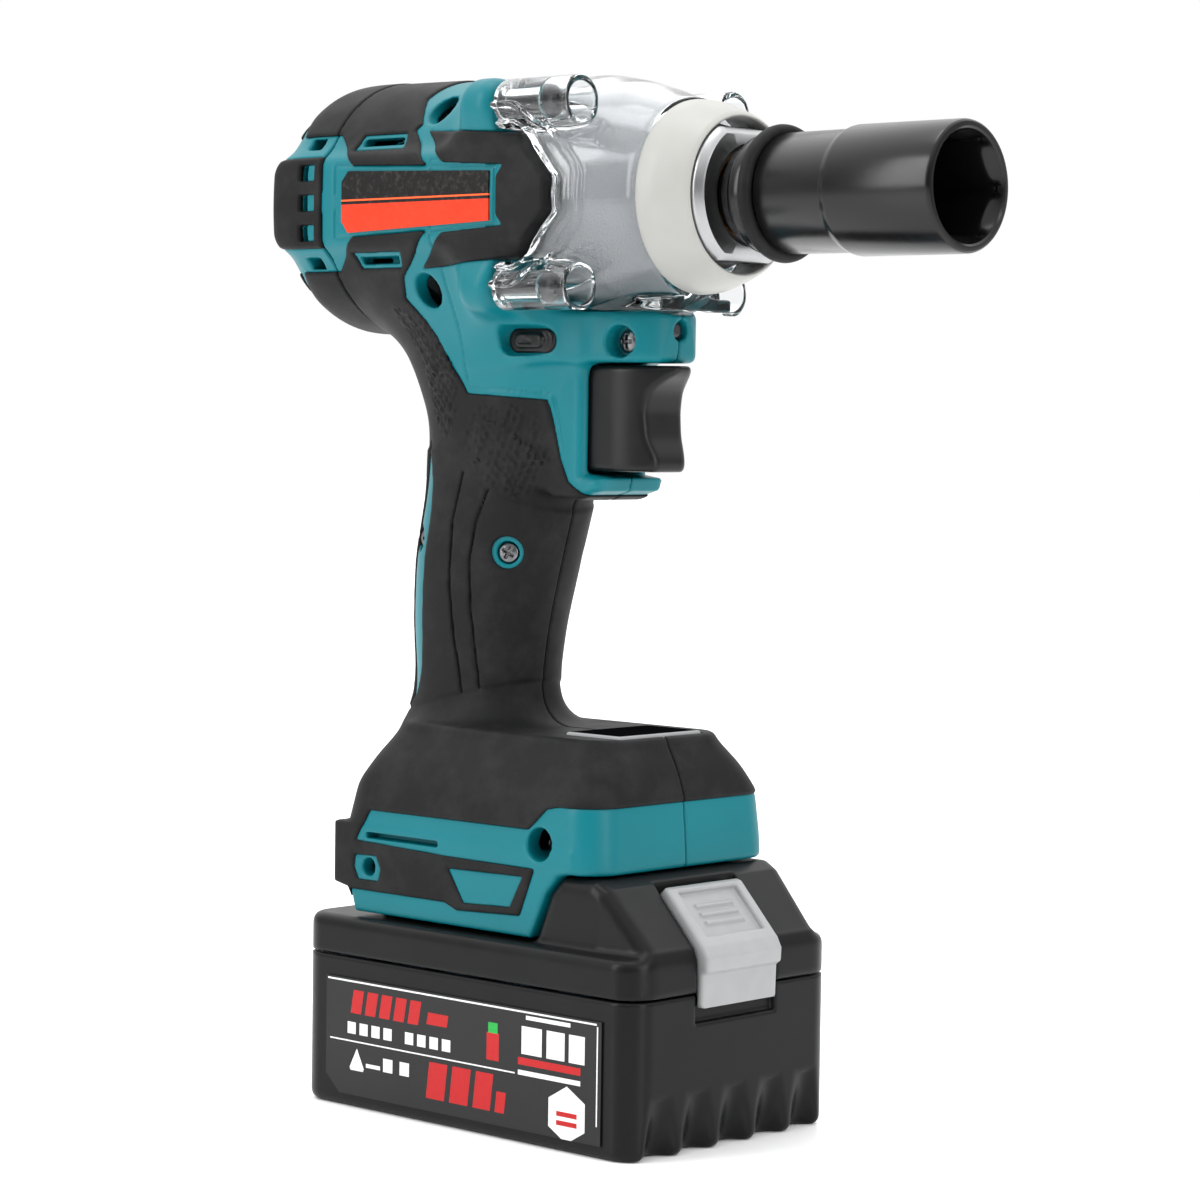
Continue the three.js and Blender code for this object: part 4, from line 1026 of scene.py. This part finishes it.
BADGE = (37.5, 9.4)
RED = [(-36 + 5.2 * i, 27.4, 1.9, 3.0, 0.18) for i in range(5)]
RED += [(-7, 26.6, 3.6, 1.5, 0.18), (-7, 11.2, 3.2, 4.6, 0.12), (1.2, 11.2, 3.2, 4.6, 0.12),
        (9.2, 11.2, 3.0, 4.6, 0.12), (15.2, 9.2, 1.6, 2.6, 0.12), (12.4, 22.6, 2.1, 3.4),
        (31.5, 20.4, 10.4, 0.9), (*BADGE, 3.4, 0.6), (BADGE[0], BADGE[1] - 2.2, 3.4, 0.6)]
WHITE = [(start + 4.4 * i, 20.6, 1.5, 1.5) for start in (-38, -17) for i in range(4)]
WHITE += [(-30, 11.6, 2.6, 0.5), (-24.6, 12.6, 1.7, 1.7), (-18.6, 12.6, 1.7, 1.7), (25.6, 25.6, 3.4, 3.4),
          (33.6, 25.6, 3.0, 3.4), (40.6, 25.6, 2.6, 3.4), (31.5, 17.6, 10.4, 0.6), (31, 31.2, 7.4, 0.5),
          (0, 32.5, 47, 0.22), (-13, 17.2, 33, 0.18), (47.3, 20, 0.2, 12)]
GREEN = [(12.4, 27.2, 1.6, 1.3)]
white_ink = label_film.blend(label_film.noise(0.0008, 4), colour(196, 196, 196), colour(232, 232, 232))
red_ink = label_film.blend(label_film.noise(0.0009, 4), colour(158, 4, 8), colour(180, 10, 14))
green_ink = label_film.blend(label_film.noise(0.001, 3), colour(16, 140, 52), colour(32, 164, 66))
label_print = label_film.blend(label_film.noise(0.012), colour(10, 10, 11), colour(17, 17, 18))
white_marks = printed(WHITE) | hexagon_mark(*BADGE, 6.0) | triangle_mark(-36, 9.8, 5.0, 1.9)
label_print = label_film.blend(white_marks, label_print, white_ink)
label_print = label_film.blend(printed(RED), label_print, red_ink)
label_print = label_film.blend(printed(GREEN), label_print, green_ink)
label_film.put("Base Color", label_print)
label_film.wear(0.3, 0.14, 0.004, 4)
mount(label, label_film, "battery", "battery_label")


# ---------------------------------------------------------------------------------------------
# Latch: a grey plastic slider set in the battery's sloped front, with a dished thumb pad and
# three treads. Pressed down against its spring, it lets the battery off the rail.
LATCH = Block((42, -16, 33), (62, 16, 65), 0.35)
side = outline(LATCH, [(44.3, 61.2), (46.2, 63.0), (47.6, 62.6), (59.6, 50.0), (61.0, 47.4), (60.8, 44),
                       (59.4, 43), (59.2, 35), (57, 35), (56.4, 46), (45.2, 58)])
latch = common(side, np.abs(LATCH.y) - 13.9, 1.2)
DISH_DEPTH = 1.2
above_slope = (LATCH.x - 53.2) * 0.715 + (LATCH.z - 56.5) * 0.70
down_slope = (LATCH.x - 52.4) * 0.70 - (LATCH.z - 56.6) * 0.715
dish = shared(slab(LATCH, y=(-10.6, 10.6), rounding=1), -(above_slope + DISH_DEPTH), np.abs(down_slope) - 6.6)
latch = cut(latch, dish, 0.9)
for step in (-2.6, 0, 2.6):
    tread = shared(np.abs(down_slope - step) - 0.5, np.abs(LATCH.y) - 7,
                   np.abs(above_slope + DISH_DEPTH) - 0.7)
    latch = fair(latch, tread, 0.6)
latch_piece = LATCH.mesh("battery_latch_moulding", latch)
grey = Finish("grey_plastic", Roughness=0.38)
grey.mottle(colour(138, 139, 140), colour(150, 151, 152), 0.006, 4)
grey.wear(0.34, 0.16, 0.004, 4)
grey.bump(grey.noise(0.0006, 2), 0.00002, 0.4)
mount(latch_piece, grey, "battery_latch", "latch")


# ---------------------------------------------------------------------------------------------
# Inner parts: gears, shafts, motor, boards and cells, seen only through the vents or when the tool
# is opened. They keep their modelled shapes and get the metal or plastic they are made of.
def shop_metal(name, dark, light, rough, metallic=1.0):
    finish = Finish(name, Metallic=metallic, Roughness=rough)
    finish.mottle(dark, light, 0.003, 4)
    finish.wear(rough - 0.06, 0.18, 0.0015, 3)
    finish.bump(finish.noise(0.0006, 3), 0.00003, 0.5)
    return finish


steel = shop_metal("ground_steel", colour(140, 141, 143), colour(176, 177, 179), 0.28)
dark_steel = shop_metal("hardened_steel", colour(26, 26, 27), colour(48, 48, 50), 0.3, 0.7)
bronze = shop_metal("sintered_bronze", colour(150, 108, 58), colour(178, 134, 78), 0.45)
copper = shop_metal("enamelled_wire", colour(150, 76, 36), colour(184, 98, 50), 0.35)
board = shop_metal("coated_board", colour(12, 82, 40), colour(20, 104, 52), 0.4, 0.0)
hidden_black = shop_metal("inner_black", colour(22, 22, 23), colour(34, 34, 35), 0.45, 0.0)
wrap = shop_metal("cell_wrap", colour(70, 120, 150), colour(92, 146, 176), 0.3, 0.0)
INNER = {
    steel: ["ring_gear", "planet_gear_1", "planet_gear_2", "planet_gear_3", "cam_shaft", "rotor_shaft",
            "trigger_spring", "latch_spring", "rear_bearing", "front_bearing", "rear_screw_1",
            "rear_screw_2", "stator"],
    dark_steel: ["anvil", "hammer", "rotor_core"],
    bronze: ["anvil_bush"],
    copper: ["winding_rear", "winding_front"],
    board: ["hall_board", "control_board"],
    hidden_black: ["fan", "switch_body", "terminal_block"],
    wrap: ["cell_pack"],
    casting: ["motor_bracket"],
}
for finish, names in INNER.items():
    for name in names:
        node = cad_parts[name]
        node.data.materials.clear()
        node.data.materials.append(finish.material)


# ---------------------------------------------------------------------------------------------
# Hammer spring: round steel wire coiled between the carrier and the hammer. The hammer squeezes
# it as it slides back on the cam. The coil is built at its modelled length and moves with the cam.
coil_low, coil_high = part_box("hammer_spring")
WIRE = 1.1 * MM
coil_radius = (coil_high.y - coil_low.y) / 2 - WIRE
coil_length = coil_high.x - coil_low.x
TURNS, TURN_STEPS, WIRE_SIDES = 5, 24, 8
COIL_STEPS = TURNS * TURN_STEPS
coil_points, coil_faces = [], []
for i in range(COIL_STEPS + 1):
    angle = 2 * math.pi * i / TURN_STEPS
    along = coil_low.x + WIRE + (coil_length - 2 * WIRE) * i / COIL_STEPS
    for j in range(WIRE_SIDES):
        tilt = 2 * math.pi * j / WIRE_SIDES
        reach = coil_radius + WIRE * math.cos(tilt)
        coil_points.append((along + WIRE * math.sin(tilt), reach * math.cos(angle),
                            AXIS * MM + reach * math.sin(angle)))
        if i:
            start, here = (i - 1) * WIRE_SIDES, i * WIRE_SIDES
            following = (j + 1) % WIRE_SIDES
            coil_faces.append((start + j, start + following, here + following, here + j))
coil_faces.append(tuple(range(WIRE_SIDES)))
coil_faces.append(tuple(reversed(range(COIL_STEPS * WIRE_SIDES, (COIL_STEPS + 1) * WIRE_SIDES))))
coil_mesh = bpy.data.meshes.new("hammer_spring_coil")
coil_mesh.from_pydata(coil_points, [], coil_faces)
coil = finish_mesh("hammer_spring_coil", coil_mesh)
mount(coil, steel, "cam", "hammer_spring")
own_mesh(coil)
